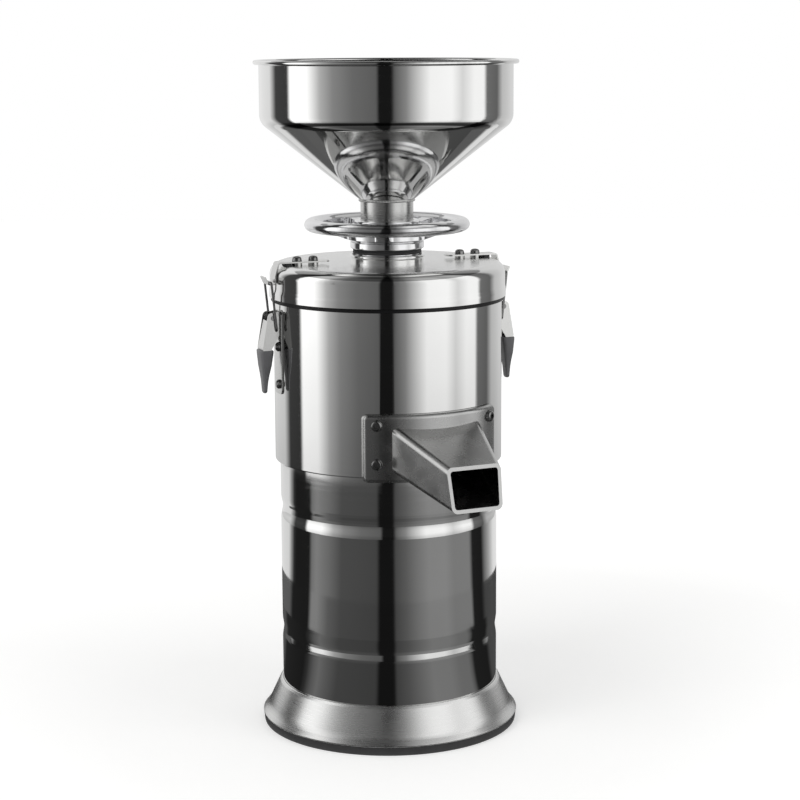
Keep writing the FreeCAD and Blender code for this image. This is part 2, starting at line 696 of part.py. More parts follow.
def stator_core():
    low, high = STATOR_Z
    body = ring(ROTOR_R + AIR_GAP, STATOR_R, low, high)
    width, depth = STATOR_SLOT
    slot = Part.makeBox(width, depth, high - low, V(-width / 2, -WINDING_R[1], low))
    for tool in around(slot, STATOR_SLOTS, 180.0 / STATOR_SLOTS):
        body = body.cut(tool)
    return body


def stator_windings():
    inner, outer = WINDING_R
    crown = [(inner, 0), (outer, 0), (outer, WINDING_H, 8.0), (inner, WINDING_H, 8.0)]
    upper = [(r[0], STATOR_Z[1] + r[1]) + tuple(r[2:]) for r in crown]
    lower = [(r[0], STATOR_Z[0] - r[1]) + tuple(r[2:]) for r in crown]
    return [turned(upper), turned(lower)]


def rotor_core():
    low, high = STATOR_Z
    body = ring(SHAFT_R, ROTOR_R, low, high)
    for end_low, end_high in ((low - RING_H, low), (high, high + RING_H)):
        body = body.fuse(ring(ROTOR_R - RING_IN, ROTOR_R - 1.0, end_low, end_high))
    return body


def motor_shaft():
    return turned([
        (0, SHAFT_BOTTOM_Z), (SHAFT_R, SHAFT_BOTTOM_Z, 1.0), (SHAFT_R, CARRIER_HUB_Z), (STUB_R, CARRIER_HUB_Z),
        (STUB_R, LOWER_DISC_Z), (THREAD_R, LOWER_DISC_Z), (THREAD_R, LOWER_DISC_Z + NUT_H + 2.0, 0.8),
        (0, LOWER_DISC_Z + NUT_H + 2.0)])


def tie_bolts():
    """Bolts that hang the motor from the chamber floor, their heads sunk in it."""
    low = LOWER_BRACKET_Z - 5.0
    high = FLOOR_TOP - SEAT_GAP
    bolt = rod(TIE_BOLT_R, V(0, -TIE_R, low), V(0, -TIE_R, high - 2.0))
    nut = floor_plate(hexagon(TIE_NUT_HALF, -TIE_R), low, LOWER_BRACKET_Z)
    head = turned([(0, high - TIE_HEAD_H), (TIE_HEAD_R, high - TIE_HEAD_H), (TIE_HEAD_R, high, 1.0), (0, high)])
    head = placed(head, 0, -TIE_R, 0)
    return around(bolt.fuse(nut).fuse(head), TIE_BOLTS, TIE_TURN)


def hexagon(half_flat, y=0.0):
    radius = half_flat / math.cos(math.radians(30))
    return [(radius * math.cos(math.radians(60 * k)), y + radius * math.sin(math.radians(60 * k)))
            for k in range(6)]


def cooling_fan():
    body = ring(SHAFT_R, FAN_HUB_R, FAN_Z, FAN_Z + FAN_H)
    disc = ring(SHAFT_R, FAN_R, FAN_Z, FAN_Z + FAN_SHEET)
    blade = Part.makeBox(FAN_SHEET, FAN_R - FAN_HUB_R + JOIN, FAN_H, V(-FAN_SHEET / 2, -FAN_R, FAN_Z))
    body = body.fuse(disc)
    for tool in around(blade, FAN_BLADES):
        body = body.fuse(tool)
    return body


def run_capacitor():
    low = LEDGE_Z + CUP_T + SEAT_GAP
    high = low + CAP_H
    can = turned([(0, low), (CAP_R, low, 2.0), (CAP_R, high, 1.5), (0, high)])
    return spun(placed(can, 0, -CAP_AT, 0), CAP_AZ)


def capacitor_cup():
    inner = CAP_R + FIT
    outer = inner + CUP_T
    high = LEDGE_Z + CUP_H
    cup = turned([(0, LEDGE_Z), (outer, LEDGE_Z), (outer, high), (inner, high), (inner, LEDGE_Z + CUP_T),
                  (0, LEDGE_Z + CUP_T)])
    return spun(placed(cup, 0, -CAP_AT, 0), CAP_AZ)


def terminal_block():
    width, depth, height = BLOCK
    body = Part.makeBox(width, depth, height, V(-width / 2, -depth / 2, LEDGE_Z))
    for x in (-BLOCK_PITCH, 0.0, BLOCK_PITCH):
        body = body.cut(Part.makeCylinder(BLOCK_HOLE_R, height / 2, V(x, 0, LEDGE_Z + height / 2)))
    return spun(placed(body, 0, -BLOCK_AT, 0), BLOCK_AZ)


# ---------------------------------------------------------------- grinding head
def disc_grooves(low, high):
    """Slanting cutting grooves from the bore to the rim."""
    width, _, slant = DISC_GROOVE
    length = DISC_R - DISC_BORE_R - DISC_LEAD
    groove = Part.makeBox(width, length, high - low, V(-width / 2, -DISC_BORE_R - length, low))
    groove.rotate(V(0, -DISC_BORE_R, 0), UP, slant)
    return around(groove, DISC_GROOVES)


def grinding_disc(back, face, toward):
    """Disc with a sloping lead round its bore; its cutting face looks up or down."""
    depth = DISC_GROOVE[1]
    body = turned([
        (DISC_BORE_R, back), (DISC_R, back), (DISC_R, face), (DISC_BORE_R + DISC_LEAD, face),
        (DISC_BORE_R, face - toward * DISC_LEAD / 2)])
    low, high = sorted((face - toward * depth, face + toward * JOIN))
    for tool in disc_grooves(low, high):
        body = body.cut(tool)
    return body


def lower_grinding_disc():
    return grinding_disc(LOWER_DISC_Z, DISC_TOP, 1.0)


def upper_grinding_disc():
    body = grinding_disc(SLEEVE_BOTTOM_Z, UPPER_DISC_Z, -1.0)
    for hole in disc_screw_holes():
        body = body.cut(hole)
    return body


def disc_screw_holes():
    low, high = SLEEVE_BOTTOM_Z - DISC_LEAD, SLEEVE_BOTTOM_Z + SLEEVE_FLANGE_T + 4.0
    hole = Part.makeCylinder(M5_R + HOLE_GAP, high - low, V(0, -DISC_SCREW_R, low))
    return around(hole, 4, 45.0)


def disc_screws():
    top = SLEEVE_BOTTOM_Z + SLEEVE_FLANGE_T
    screw = pan_screw(4.5, 3.2, M5_R, SLEEVE_FLANGE_T + DISC_LEAD - 0.5)
    return around(placed(screw, 0, -DISC_SCREW_R, top), 4, 45.0)


def disc_carrier():
    """Spinning plate that holds the lower disc and sweeps the butter to the chute."""
    plate_low = LOWER_DISC_Z - CARRIER_T
    socket = DISC_R + FIT
    rim_z = LOWER_DISC_Z + SOCKET_H
    body = turned([
        (STUB_R + RUN, CARRIER_HUB_Z), (CARRIER_HUB_R, CARRIER_HUB_Z), (CARRIER_HUB_R, plate_low, 3.0),
        (CARRIER_R - 8.0, plate_low, 3.0), (CARRIER_R, plate_low - 8.0), (CARRIER_R, LOWER_DISC_Z, 3.0),
        (socket + SOCKET_WALL, LOWER_DISC_Z), (socket + SOCKET_WALL, rim_z), (socket, rim_z),
        (socket, LOWER_DISC_Z), (STUB_R + RUN, LOWER_DISC_Z)])
    inner, outer = WIPER_R
    blade = side_plate([
        (inner, plate_low), (inner, WIPER_Z + 6.0), (inner + 6.0, WIPER_Z), (outer, WIPER_Z),
        (outer, WIPER_Z + 20.0), (CARRIER_R - 4.0, plate_low)], -WIPER_HALF, WIPER_HALF)
    for tool in around(blade, WIPERS, 80.0):
        body = body.fuse(tool)
    return body


def disc_nut():
    nut = floor_plate(hexagon(NUT_HALF), LOWER_DISC_Z, LOWER_DISC_Z + NUT_H)
    return nut.cut(Part.makeCylinder(THREAD_R, NUT_H, V(0, 0, LOWER_DISC_Z)))


# ---------------------------------------------------------------- lid
def lid_gasket():
    inner = BARREL_IN - 1.0
    outer = LID_R + LID_JOGGLE - SHEET - FIT
    bottom = LID_EDGE_Z - GASKET_LIP
    top = BARREL_TOP_Z + GASKET_H
    upper_outer = LID_R - SHEET - FIT
    joggle = LID_JOGGLE_Z - LID_JOGGLE_H
    return turned([
        (BARREL_R, bottom), (outer, bottom, 0.6), (outer, joggle), (upper_outer, joggle + 1.0), (upper_outer, top),
        (inner, top), (inner, BARREL_TOP_Z), (BARREL_R, BARREL_TOP_Z)])


def lid_profile(inset):
    """Points up the skirt and over the top of the lid, set in by a wall."""
    corner = LID_CORNER - inset
    low, high = LID_JOGGLE_Z, LID_JOGGLE_Z + LID_JOGGLE_H
    return [
        (LID_R + LID_JOGGLE - inset, LID_EDGE_Z), (LID_R + LID_JOGGLE - inset, low, LID_JOGGLE_R),
        (LID_R - inset, high, LID_JOGGLE_R), (LID_R - inset, LID_TOP_Z - inset, corner)]


def at_keeper_screws(shape):
    """A copy of a part made on the axis for each screw of both keepers."""
    copies = []
    for azimuth in LATCH_AZ:
        for outward in KEEPER_SCREW_R:
            copies.append(spun(placed(shape, 0, -outward, 0), azimuth))
    return copies


def keeper_screw_holes(low, high):
    return at_keeper_screws(ring(0, M5_R + HOLE_GAP, low, high))


def lid():
    bore = LID_NECK_R + FIT
    outside = lid_profile(0.0) + [(bore, LID_TOP_Z)]
    inside = [(bore, LID_TOP_Z - SHEET)] + lid_profile(SHEET)[::-1]
    body = turned(outside + inside)
    for hole in keeper_screw_holes(LID_TOP_Z - SHEET, LID_TOP_Z):
        body = body.cut(hole)
    return body


def lid_plate():
    """Cast plate under the lid: bears on the gasket and guides the sleeve."""
    top = LID_TOP_Z - SHEET
    under = top - LID_PLATE_T
    outer = LID_R - SHEET - FIT
    seat = BARREL_TOP_Z + GASKET_H + SEAT_GAP
    guide = SLEEVE_R + FIT
    thread = SPIGOT_R + FIT
    thread_z = SPIGOT_BOTTOM_Z - SPIGOT_ROOM
    body = turned([
        (guide, LID_BORE_Z), (LID_TUBE_R, LID_BORE_Z, 1.5), (LID_TUBE_R, under, 5.0), (LID_PLATE_R, under, 3.0),
        (LID_PLATE_R, seat), (outer, seat), (outer, top - LID_CORNER), (outer - LID_CORNER, top),
        (LID_NECK_R, top), (LID_NECK_R, LID_NECK_Z), (thread, LID_NECK_Z), (thread, thread_z), (guide, thread_z)])
    rib_w, rib_h, rib_az = LID_RIB
    rib_low = under - rib_h + LID_PLATE_T
    rib = Part.makeBox(rib_w, LID_PLATE_R, rib_h, V(-rib_w / 2, -LID_PLATE_R - JOIN, rib_low))
    rib = rib.common(ring(LID_TUBE_R - JOIN, LID_PLATE_R + JOIN, rib_low, under + JOIN))
    for tool in around(rib, LID_RIBS, rib_az):
        body = body.fuse(tool)
    for hole in keeper_screw_holes(rib_low, top):
        body = body.cut(hole)
    return body


def lid_collar():
    """Polished ring nut that holds the lid's skin to the plate's neck."""
    bore = LID_NECK_R + FIT
    waist = LID_TOP_Z + 4.2
    return turned([
        (bore, LID_TOP_Z), (COLLAR_FOOT_R, LID_TOP_Z), (COLLAR_FOOT_R, waist, 0.8), (COLLAR_R, waist + 1.0, 0.6),
        (COLLAR_R, LID_COLLAR_Z, 1.2), (bore, LID_COLLAR_Z)])


def latch_keeper():
    """Strap over the lid's edge, its end folded into a hook for the wire bail."""
    leg_d = LID_R + FIT
    hook_d, hook_z = BAIL_HOOK
    floor = hook_z - BAIL_WIRE_R - 0.25 - LATCH_SHEET
    lip = hook_d + BAIL_WIRE_R + 1.0
    path = [
        (KEEPER_IN, KEEPER_LOW), (leg_d - 3.6, KEEPER_LOW, KEEPER_BEND_R - LATCH_SHEET),
        (leg_d, LID_TOP_Z - 10.5, 4.0), (leg_d, floor, 2.5), (lip, floor, 2.5), (lip + 3.6, floor + 8.0)]
    body = side_plate(folded(path, LATCH_SHEET), -KEEPER_HALF, KEEPER_HALF)
    for outward in KEEPER_SCREW_R:
        body = body.cut(Part.makeCylinder(M5_R + HOLE_GAP, 2 * LATCH_SHEET, V(0, -outward, KEEPER_LOW - JOIN)))
    tongue = floor_plate([
        (-KEEPER_HALF, -leg_d - 20), (KEEPER_HALF, -leg_d - 20), (KEEPER_HALF, -KEEPER_IN, 6.0),
        (-KEEPER_HALF, -KEEPER_IN, 6.0)], floor - JOIN, KEEPER_LOW + LATCH_SHEET + JOIN)
    return body.common(tongue)


def latch_keepers():
    return [spun(latch_keeper(), azimuth) for azimuth in LATCH_AZ]


def keeper_spacers():
    return at_keeper_screws(ring(M5_R + HOLE_GAP, KEEPER_SPACER_R, LID_TOP_Z, KEEPER_LOW))


def keeper_pads():
    """Rubber pads that keep the straps from drumming on the lid."""
    inner, outer = KEEPER_PAD
    half = KEEPER_HALF - 1.0
    pad = floor_plate([(-half, -outer, 1.5), (half, -outer, 1.5), (half, -inner, 1.5), (-half, -inner, 1.5)],
                      LID_TOP_Z, KEEPER_LOW)
    return [spun(pad, azimuth) for azimuth in LATCH_AZ]


def keeper_screws():
    shank = LATCH_SHEET + KEEPER_LIFT + SHEET + LID_PLATE_T - 1.0
    screw = pan_screw(5.2, 4.6, M5_R, shank)
    return at_keeper_screws(placed(screw, 0, 0, KEEPER_LOW + LATCH_SHEET))


# ---------------------------------------------------------------- latches
def latch_screw_holes(inner, outer):
    return [rod(M4_R + HOLE_GAP, V(LATCH_SCREW_SIDE, -inner, height), V(LATCH_SCREW_SIDE, -outer, height))
            for height in LATCH_SCREW_Z]


def latch_base():
    t = LATCH_SHEET
    low, high = LATCH_PLATE_Z
    sheet = ring(BARREL_R, LATCH_FACE, low - JOIN, high + JOIN)
    body = front_patch(sheet, LATCH_PLATE_HALF, low, high, 5.0)
    pivot_d, pivot_z = LATCH_PIVOT
    root = BARREL_R + 0.3
    ear = [
        (root, pivot_z - 8.0), (pivot_d + 3.5, pivot_z - 4.0, 3.0), (pivot_d + 3.5, pivot_z + 4.5, 3.4),
        (root, pivot_z + 6.5)]
    outer = LEVER_HALF - t - EAR_GAP
    body = body.fuse(side_plate(ear, -outer, -outer + t)).fuse(side_plate(ear, outer - t, outer))
    body = body.cut(rod(LATCH_PIN_R, V(-LEVER_HALF, -pivot_d, pivot_z), V(LEVER_HALF, -pivot_d, pivot_z)))
    for hole in latch_screw_holes(BARREL_R - 20.0, BARREL_R + 20.0):
        body = body.cut(hole)
    return body


def latch_bases():
    return [spun(latch_base(), azimuth) for azimuth in LATCH_AZ]


def latch_screws():
    """Domed screws beside the middle of each latch plate."""
    out = math.sqrt(LATCH_FACE ** 2 - (LATCH_SCREW_SIDE + 4.9) ** 2)
    seat = LATCH_FACE - out
    domed = turned([(0, 0), (4.9, 0), (4.9, seat + 1.4, 1.2), (3.2, seat + 3.4, 2.0), (0, seat + 3.4)])
    shank = Part.makeCylinder(M4_R, out - BARREL_IN + 2.0, V(0, 0, BARREL_IN - 2.0 - out))
    screws = []
    for azimuth in LATCH_AZ:
        for height in LATCH_SCREW_Z:
            screw = standing(domed.fuse(shank), out, height)
            screw.translate(V(LATCH_SCREW_SIDE, 0, 0))
            inside, outside = V(LATCH_SCREW_SIDE, -BARREL_IN, height), V(LATCH_SCREW_SIDE, -LATCH_FACE - JOIN, height)
            shank_room = rod(M4_R, inside, outside)
            plate_room = ring(BARREL_R, LATCH_FACE, height - 10.0, height + 10.0).cut(shank_room)
            screws.append(spun(screw.cut(plate_room), azimuth))
    return screws


def latch_pins():
    pivot_d, pivot_z = LATCH_PIVOT
    reach = LEVER_HALF + 0.1
    body = rod(LATCH_PIN_R, V(-reach, -pivot_d, pivot_z), V(reach, -pivot_d, pivot_z))
    for side in (-1, 1):
        head = rod(2.9, V(side * reach, -pivot_d, pivot_z), V(side * (reach + 0.4), -pivot_d, pivot_z))
        body = body.fuse(head)
    return [spun(body, azimuth) for azimuth in LATCH_AZ]


def lever(azimuth):
    """Pressed lever: two cheeks joined by a web that bows outwards and ends in a tongue."""
    t = LATCH_SHEET
    pd, pz = LATCH_PIVOT
    bd, bz = BAIL_PIVOT
    lobe = 5.5
    cheek = [
        (pd - lobe, pz + lobe, 5.0), (pd + lobe, pz + lobe, 5.0), (pd + 11.8, pz - 31.0, 6.0),
        (pd + 9.1, pz - 68.0), (pd + 8.2, pz - 68.0), (pd + 5.2, pz - 57.0, 4.0), (pd + 2.8, pz - 33.0, 6.0),
        (bd - 3.0, bz - 5.0, 3.0), (bd - 3.0, bz + 4.0, 3.0)]
    web = folded([
        (pd + 4.7, pz - 3.0), (pd + 10.3, pz - 31.0, 6.0), (pd + 8.3, pz - 60.0, 20.0), (pd + 7.1, pz - 78.0)], t)
    body = side_plate(cheek, -LEVER_HALF, -LEVER_HALF + t).fuse(side_plate(cheek, LEVER_HALF - t, LEVER_HALF))
    body = body.fuse(side_plate(web, -LEVER_HALF, LEVER_HALF))
    low = pz - LEVER_H
    neck = LEVER_TIP_HALF + 0.8
    keep = front_plate([
        (-LEVER_TIP_HALF, low, 4.0), (LEVER_TIP_HALF, low, 4.0), (neck, pz - 68.0, 8.0),
        (LEVER_HALF, pz - 44.0, 8.0), (LEVER_HALF, pz + 20.0), (-LEVER_HALF, pz + 20.0),
        (-LEVER_HALF, pz - 44.0, 8.0), (-neck, pz - 68.0, 8.0)], BARREL_R / 2, BARREL_R + 40.0)
    body = body.common(keep)
    reach = 2 * LEVER_HALF
    body = body.cut(rod(LATCH_PIN_R + RUN, V(-reach, -pd, pz), V(reach, -pd, pz)))
    body = body.cut(rod(BAIL_WIRE_R + RUN, V(-reach, -bd, bz), V(reach, -bd, bz)))
    return spun(body, azimuth)


def bail(azimuth):
    """Wire bail: two legs, a crossbar for the hook, and ends turned into the lever."""
    hook_d, hook_z = BAIL_HOOK
    foot_d, foot_z = BAIL_PIVOT
    length = math.hypot(hook_d - foot_d, hook_z - foot_z)
    lean_d, lean_z = (hook_d - foot_d) / length, (hook_z - foot_z) / length
    bend = BAIL_BEND

    def at(x, s):
        return V(x, -(foot_d + lean_d * s), foot_z + lean_z * s)

    pin_in = LEVER_HALF - LATCH_SHEET
    half = BAIL_HALF
    diagonal = bend * (1 - math.cos(math.radians(45)))
    edges = []
    for side in (-1, 1):
        edges.append([at(side * pin_in, 0), at(side * (half - bend), 0)])
        edges.append([at(side * (half - bend), 0), at(side * (half - diagonal), diagonal), at(side * half, bend)])
        edges.append([at(side * half, bend), at(side * half, length - bend)])
        edges.append([at(side * half, length - bend), at(side * (half - diagonal), length - diagonal),
                      at(side * (half - bend), length)])
    path = [edges[0], edges[1], edges[2], edges[3], [at(-half + bend, length), at(half - bend, length)]]
    path += [edges[7][::-1], edges[6][::-1], edges[5][::-1], edges[4][::-1]]
    shapes = []
    for points in path:
        if len(points) == 3:
            shapes.append(Part.Arc(*points).toShape())
        else:
            shapes.append(Part.LineSegment(*points).toShape())
    wire = Part.Wire(shapes)
    section = Part.Wire(Part.makeCircle(BAIL_WIRE_R, at(-pin_in, 0), V(1, 0, 0)))
    return spun(wire.makePipeShell([section], True, False), azimuth)


# ---------------------------------------------------------------- handwheel and hopper
def adjusting_sleeve():
    """Tube that carries the upper disc; the neck of the hopper stands in its top."""
    low = SLEEVE_BOTTOM_Z
    body = turned([
        (SLEEVE_BORE_R, low), (SLEEVE_FLANGE_R, low), (SLEEVE_FLANGE_R, low + SLEEVE_FLANGE_T, 2.0),
        (SLEEVE_R + 6.0, low + SLEEVE_FLANGE_T, 4.0), (SLEEVE_R, low + SLEEVE_FLANGE_T + 10.0, 4.0),
        (SLEEVE_R, SLEEVE_TOP_Z, 0.8), (NECK_R + FIT, SLEEVE_TOP_Z), (NECK_R + FIT, SLEEVE_SEAT_Z),
        (SLEEVE_BORE_R, SLEEVE_SEAT_Z - 3.0)])
    for hole in disc_screw_holes():
        body = body.cut(hole)
    return body


def wheel_window():
    """One finger window between two spokes, centred at the front."""
    inner, outer = WINDOW_R
    span = math.radians(180.0 / SPOKES)
    band = ring(inner, outer, WHEEL_Z - 30, WHEEL_Z + 30)
    reach = outer * 2
    tip = SPOKE_W / 2 / math.sin(span)
    wedge = [(0, -tip), (reach * math.sin(span), -tip - reach * math.cos(span)),
             (-reach * math.sin(span), -tip - reach * math.cos(span))]
    tool = band.common(floor_plate(wedge, WHEEL_Z - 30, WHEEL_Z + 30))
    upright = [edge for edge in tool.Edges
               if abs(edge.Vertexes[0].X - edge.Vertexes[-1].X) < 1e-6
               and abs(edge.Vertexes[0].Y - edge.Vertexes[-1].Y) < 1e-6]
    return tool.makeFillet(WINDOW_CORNER, upright)


def handwheel():
    rim_mid = WHEEL_R - RIM_W / 2
    bore = SLEEVE_R + RUN
    low, high = HUB_Z
    hub = turned([
        (bore, SPIGOT_BOTTOM_Z), (SPIGOT_R, SPIGOT_BOTTOM_Z, 0.8), (SPIGOT_R, low), (HUB_R, low, 1.2),
        (HUB_R, HUB_STEP_Z, 0.8), (HUB_R - HUB_STEP, HUB_STEP_Z + 1.2, 0.6), (HUB_R - HUB_STEP, high, 2.0),
        (HUB_COLLAR_R, high + 6.0), (HUB_COLLAR_R, HUB_TOP_Z, 2.0), (NECK_R + FIT, HUB_TOP_Z, 0.8),
        (NECK_R + FIT, SLEEVE_TOP_Z + SEAT_GAP), (bore, SLEEVE_TOP_Z + SEAT_GAP)])
    web_low = high - SPOKE_DROP
    web_high = HUB_TOP_Z - 3.5
    root = bore + 0.5
    web = turned([
        (root, web_low), (HUB_R + 1.0, web_low, 3.0), (rim_mid - 4.0, WHEEL_Z - SPOKE_T / 2),
        (rim_mid, WHEEL_Z), (rim_mid - 4.0, WHEEL_Z + SPOKE_T / 2), (HUB_R + 4.0, web_high - 2.5, 6.0),
        (root, web_high)])
    for tool in around(wheel_window(), SPOKES, 180.0 / SPOKES + SPOKE_TURN):
        web = web.cut(tool)
    curve = Part.Ellipse(ORIGIN, RIM_W / 2, RIM_H / 2).toShape()
    curve.rotate(ORIGIN, V(1, 0, 0), 90)
    curve.translate(V(rim_mid, 0, WHEEL_Z))
    rim = Part.Face(Part.Wire(curve)).revolve(ORIGIN, UP, 360)
    return hub.fuse(web).fuse(rim)


def wheel_seal():
    """Black rubber wiper under the hub."""
    low, high = HUB_Z[0] - WHEEL_SEAL_H, HUB_Z[0]
    lip = WHEEL_SEAL_R
    waist = lip - 0.8
    return turned([
        (SPIGOT_R, low), (lip, low, 0.8), (waist, low + WHEEL_SEAL_H / 2, 0.6), (lip, high, 0.8),
        (SPIGOT_R, high)])


def hopper_side(inset):
    """Foot and knee of the cone, set in by a wall's thickness."""
    foot = NECK_R + CONE_BEAD
    run = HOPPER_R - foot
    rise = HOPPER_KNEE_Z - NECK_TOP_Z
    slant = math.hypot(run, rise)
    knee_z = HOPPER_KNEE_Z + inset * (slant - rise) / run
    return [(foot - inset * slant / rise, NECK_TOP_Z), (HOPPER_R - inset, knee_z, HOPPER_KNEE_R - inset)]


def hopper_bowl():
    t = HOPPER_SHEET
    lip = HOPPER_R + HOPPER_LIP
    bead_r = HOPPER_BEAD / 2 - 0.1
    rim = [
        (HOPPER_R, RIM_Z - HOPPER_BEAD, 0.4), (lip, RIM_Z - HOPPER_BEAD, bead_r), (lip, RIM_Z, bead_r),
        (HOPPER_R - t, RIM_Z, bead_r)]
    return turned(hopper_side(0.0) + rim + hopper_side(t)[::-1])


def hopper_neck():
    bore = NECK_R - SHEET
    return turned([
        (bore, SLEEVE_SEAT_Z + SEAT_GAP), (NECK_R, SLEEVE_SEAT_Z + SEAT_GAP, 0.6), (NECK_R, NECK_TOP_Z - 1.6),
        (NECK_R + CONE_BEAD, NECK_TOP_Z - 1.6, 0.6), (NECK_R + CONE_BEAD, NECK_TOP_Z), (bore, NECK_TOP_Z)])


# ---------------------------------------------------------------- switch and gland
def switch_bezel():
    half, tall = SWITCH_HALF
    border = half + SWITCH_BEZEL
    tall_border = tall + SWITCH_BEZEL
    front = CASING_R + SWITCH_STAND
    plate = front_plate(
        rectangle(border, SWITCH_Z - tall_border, SWITCH_Z + tall_border, 4.0), CASING_R - SWITCH_DEPTH, front)
    plate = plate.cut(ring(0, CASING_R, SWITCH_Z - 2 * tall, SWITCH_Z + 2 * tall))
    box = front_plate(rectangle(half, SWITCH_Z - tall, SWITCH_Z + tall, 1.5), CASING_R - SWITCH_DEPTH, front)
    rocker_half, rocker_tall = ROCKER_HALF
    well = front_plate(
        rectangle(rocker_half + FIT, SWITCH_Z - rocker_tall - 2.0, SWITCH_Z + rocker_tall + 2.0, 1.0),
        CASING_R - SWITCH_WELL, front + JOIN)
    reach = half - 1.0
    pivot = rod(ROCKER_PIN_R + RUN, V(-reach, -ROCKER_PIVOT, SWITCH_Z), V(reach, -ROCKER_PIVOT, SWITCH_Z))
    return spun(plate.fuse(box).cut(well).cut(pivot), 180)


def rocker_switch():
    half, tall = ROCKER_HALF
    d = ROCKER_PIVOT
    root = CASING_R + 0.5
    top = CASING_R + 5.5
    end = tall - 0.5
    body = side_plate([
        (d - 4.0, SWITCH_Z - 5.0, 2.0), (d - 4.0, SWITCH_Z + 5.0, 2.0), (root, SWITCH_Z + end, 1.0),
        (top, SWITCH_Z + end, 1.0), (top - 2.0, SWITCH_Z, 60.0), (top, SWITCH_Z - end, 1.0),
        (root, SWITCH_Z - end, 1.0)], -half, half)
    reach = half + 2.5
    body = body.fuse(rod(ROCKER_PIN_R, V(-reach, -d, SWITCH_Z), V(reach, -d, SWITCH_Z)))
    body.rotate(V(0, -d, SWITCH_Z), V(1, 0, 0), ROCKER_TILT)
    return spun(body, 180)


def cord_gland():
    """Screwed gland: sleeve through the casing, flats outside and a domed clamp."""
    flats_z, dome_z, shoulder_z, end_z = 12.3, 17.0, 25.0, 31.0
    dome_r = GLAND_R + 2.6
    sleeve = ring(0, GLAND_R, 0, shoulder_z)
    flats = floor_plate(hexagon(GLAND_NUT_HALF), flats_z, dome_z)
    dome = turned([
        (0, dome_z), (dome_r, dome_z), (dome_r, shoulder_z, 1.5), (GLAND_R - 1.5, end_z, 1.0), (0, end_z)])
    body = sleeve.fuse(flats).fuse(dome).cut(ring(0, CORD_HOLE_R, 0, end_z))
    return spun(standing(body, GLAND_ROOT, GLAND_Z), 180)


def gland_nut():
    low, high = 5.0, 9.5
    nut = floor_plate(hexagon(GLAND_NUT_HALF), low, high).cut(ring(0, GLAND_R, low, high))
    return spun(standing(nut, GLAND_ROOT, GLAND_Z), 180)


NODES = {
    "foot_ring": foot_ring,
    "base_flare": base_flare,
    "bottom_plate": bottom_plate,
    "base_screws": base_screws,
    "motor_casing": motor_casing,
    "grinding_barrel": grinding_barrel,
    "chamber_floor": chamber_floor,
    "shaft_seal": shaft_seal,
    "chute": chute,
    "chute_gasket": chute_gasket,
    "chute_screws": chute_screws,
    "upper_end_bracket": upper_end_bracket,
    "lower_end_bracket": lower_end_bracket,
    "upper_bearing": lambda: bearing(UPPER_BEARING_Z),
    "lower_bearing": lambda: bearing(LOWER_BEARING_Z),
    "stator_core": stator_core,
    "stator_windings": stator_windings,
    "tie_bolts": tie_bolts,
    "run_capacitor": run_capacitor,
    "capacitor_cup": capacitor_cup,
    "terminal_block": terminal_block,
    "motor_shaft": motor_shaft,
    "rotor_core": rotor_core,
    "cooling_fan": cooling_fan,
    "disc_carrier": disc_carrier,
    "lower_grinding_disc": lower_grinding_disc,
    "disc_nut": disc_nut,
    "adjusting_sleeve": adjusting_sleeve,
    "upper_grinding_disc": upper_grinding_disc,
    "disc_screws": disc_screws,
    "lid_gasket": lid_gasket,
    "lid": lid,
    "lid_plate": lid_plate,
    "lid_collar": lid_collar,
    "latch_keepers": latch_keepers,
    "keeper_spacers": keeper_spacers,
    "keeper_pads": keeper_pads,
    "keeper_screws": keeper_screws,
    "latch_bases": latch_bases,
    "latch_screws": latch_screws,
    "latch_pins": latch_pins,
    "left_latch_lever": lambda: lever(LATCH_AZ[0]),
    "right_latch_lever": lambda: lever(LATCH_AZ[1]),
    "left_latch_bail": lambda: bail(LATCH_AZ[0]),
    "right_latch_bail": lambda: bail(LATCH_AZ[1]),
    "handwheel": handwheel,
    "wheel_seal": wheel_seal,
    "hopper_bowl": hopper_bowl,
    "hopper_neck": hopper_neck,
    "switch_bezel": switch_bezel,
    "rocker_switch": rocker_switch,
    "cord_gland": cord_gland,
    "gland_nut": gland_nut,
}

for node_name, make in NODES.items():
    export(node_name, make())
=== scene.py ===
# %% [markdown]
# # Dressing a nut butter grinder
# The grinder comes in as finished steel shapes with no looks of their own. It stands on a rubber
# foot: a flared base, a motor casing, a grinding barrel with a spout, a lid held by two catches,
# a handwheel that sets how fine it grinds, and a hopper on top.
# This lesson gives every part the surface it has on the real machine, adds the small things that
# are easier to make here than as exact solids, and sets up a light tent, because polished steel
# has hardly any colour of its own: it shows what stands round it.

# %% Load the machine
import bpy
import bmesh
import math
from mathutils import Matrix, Quaternion, Vector


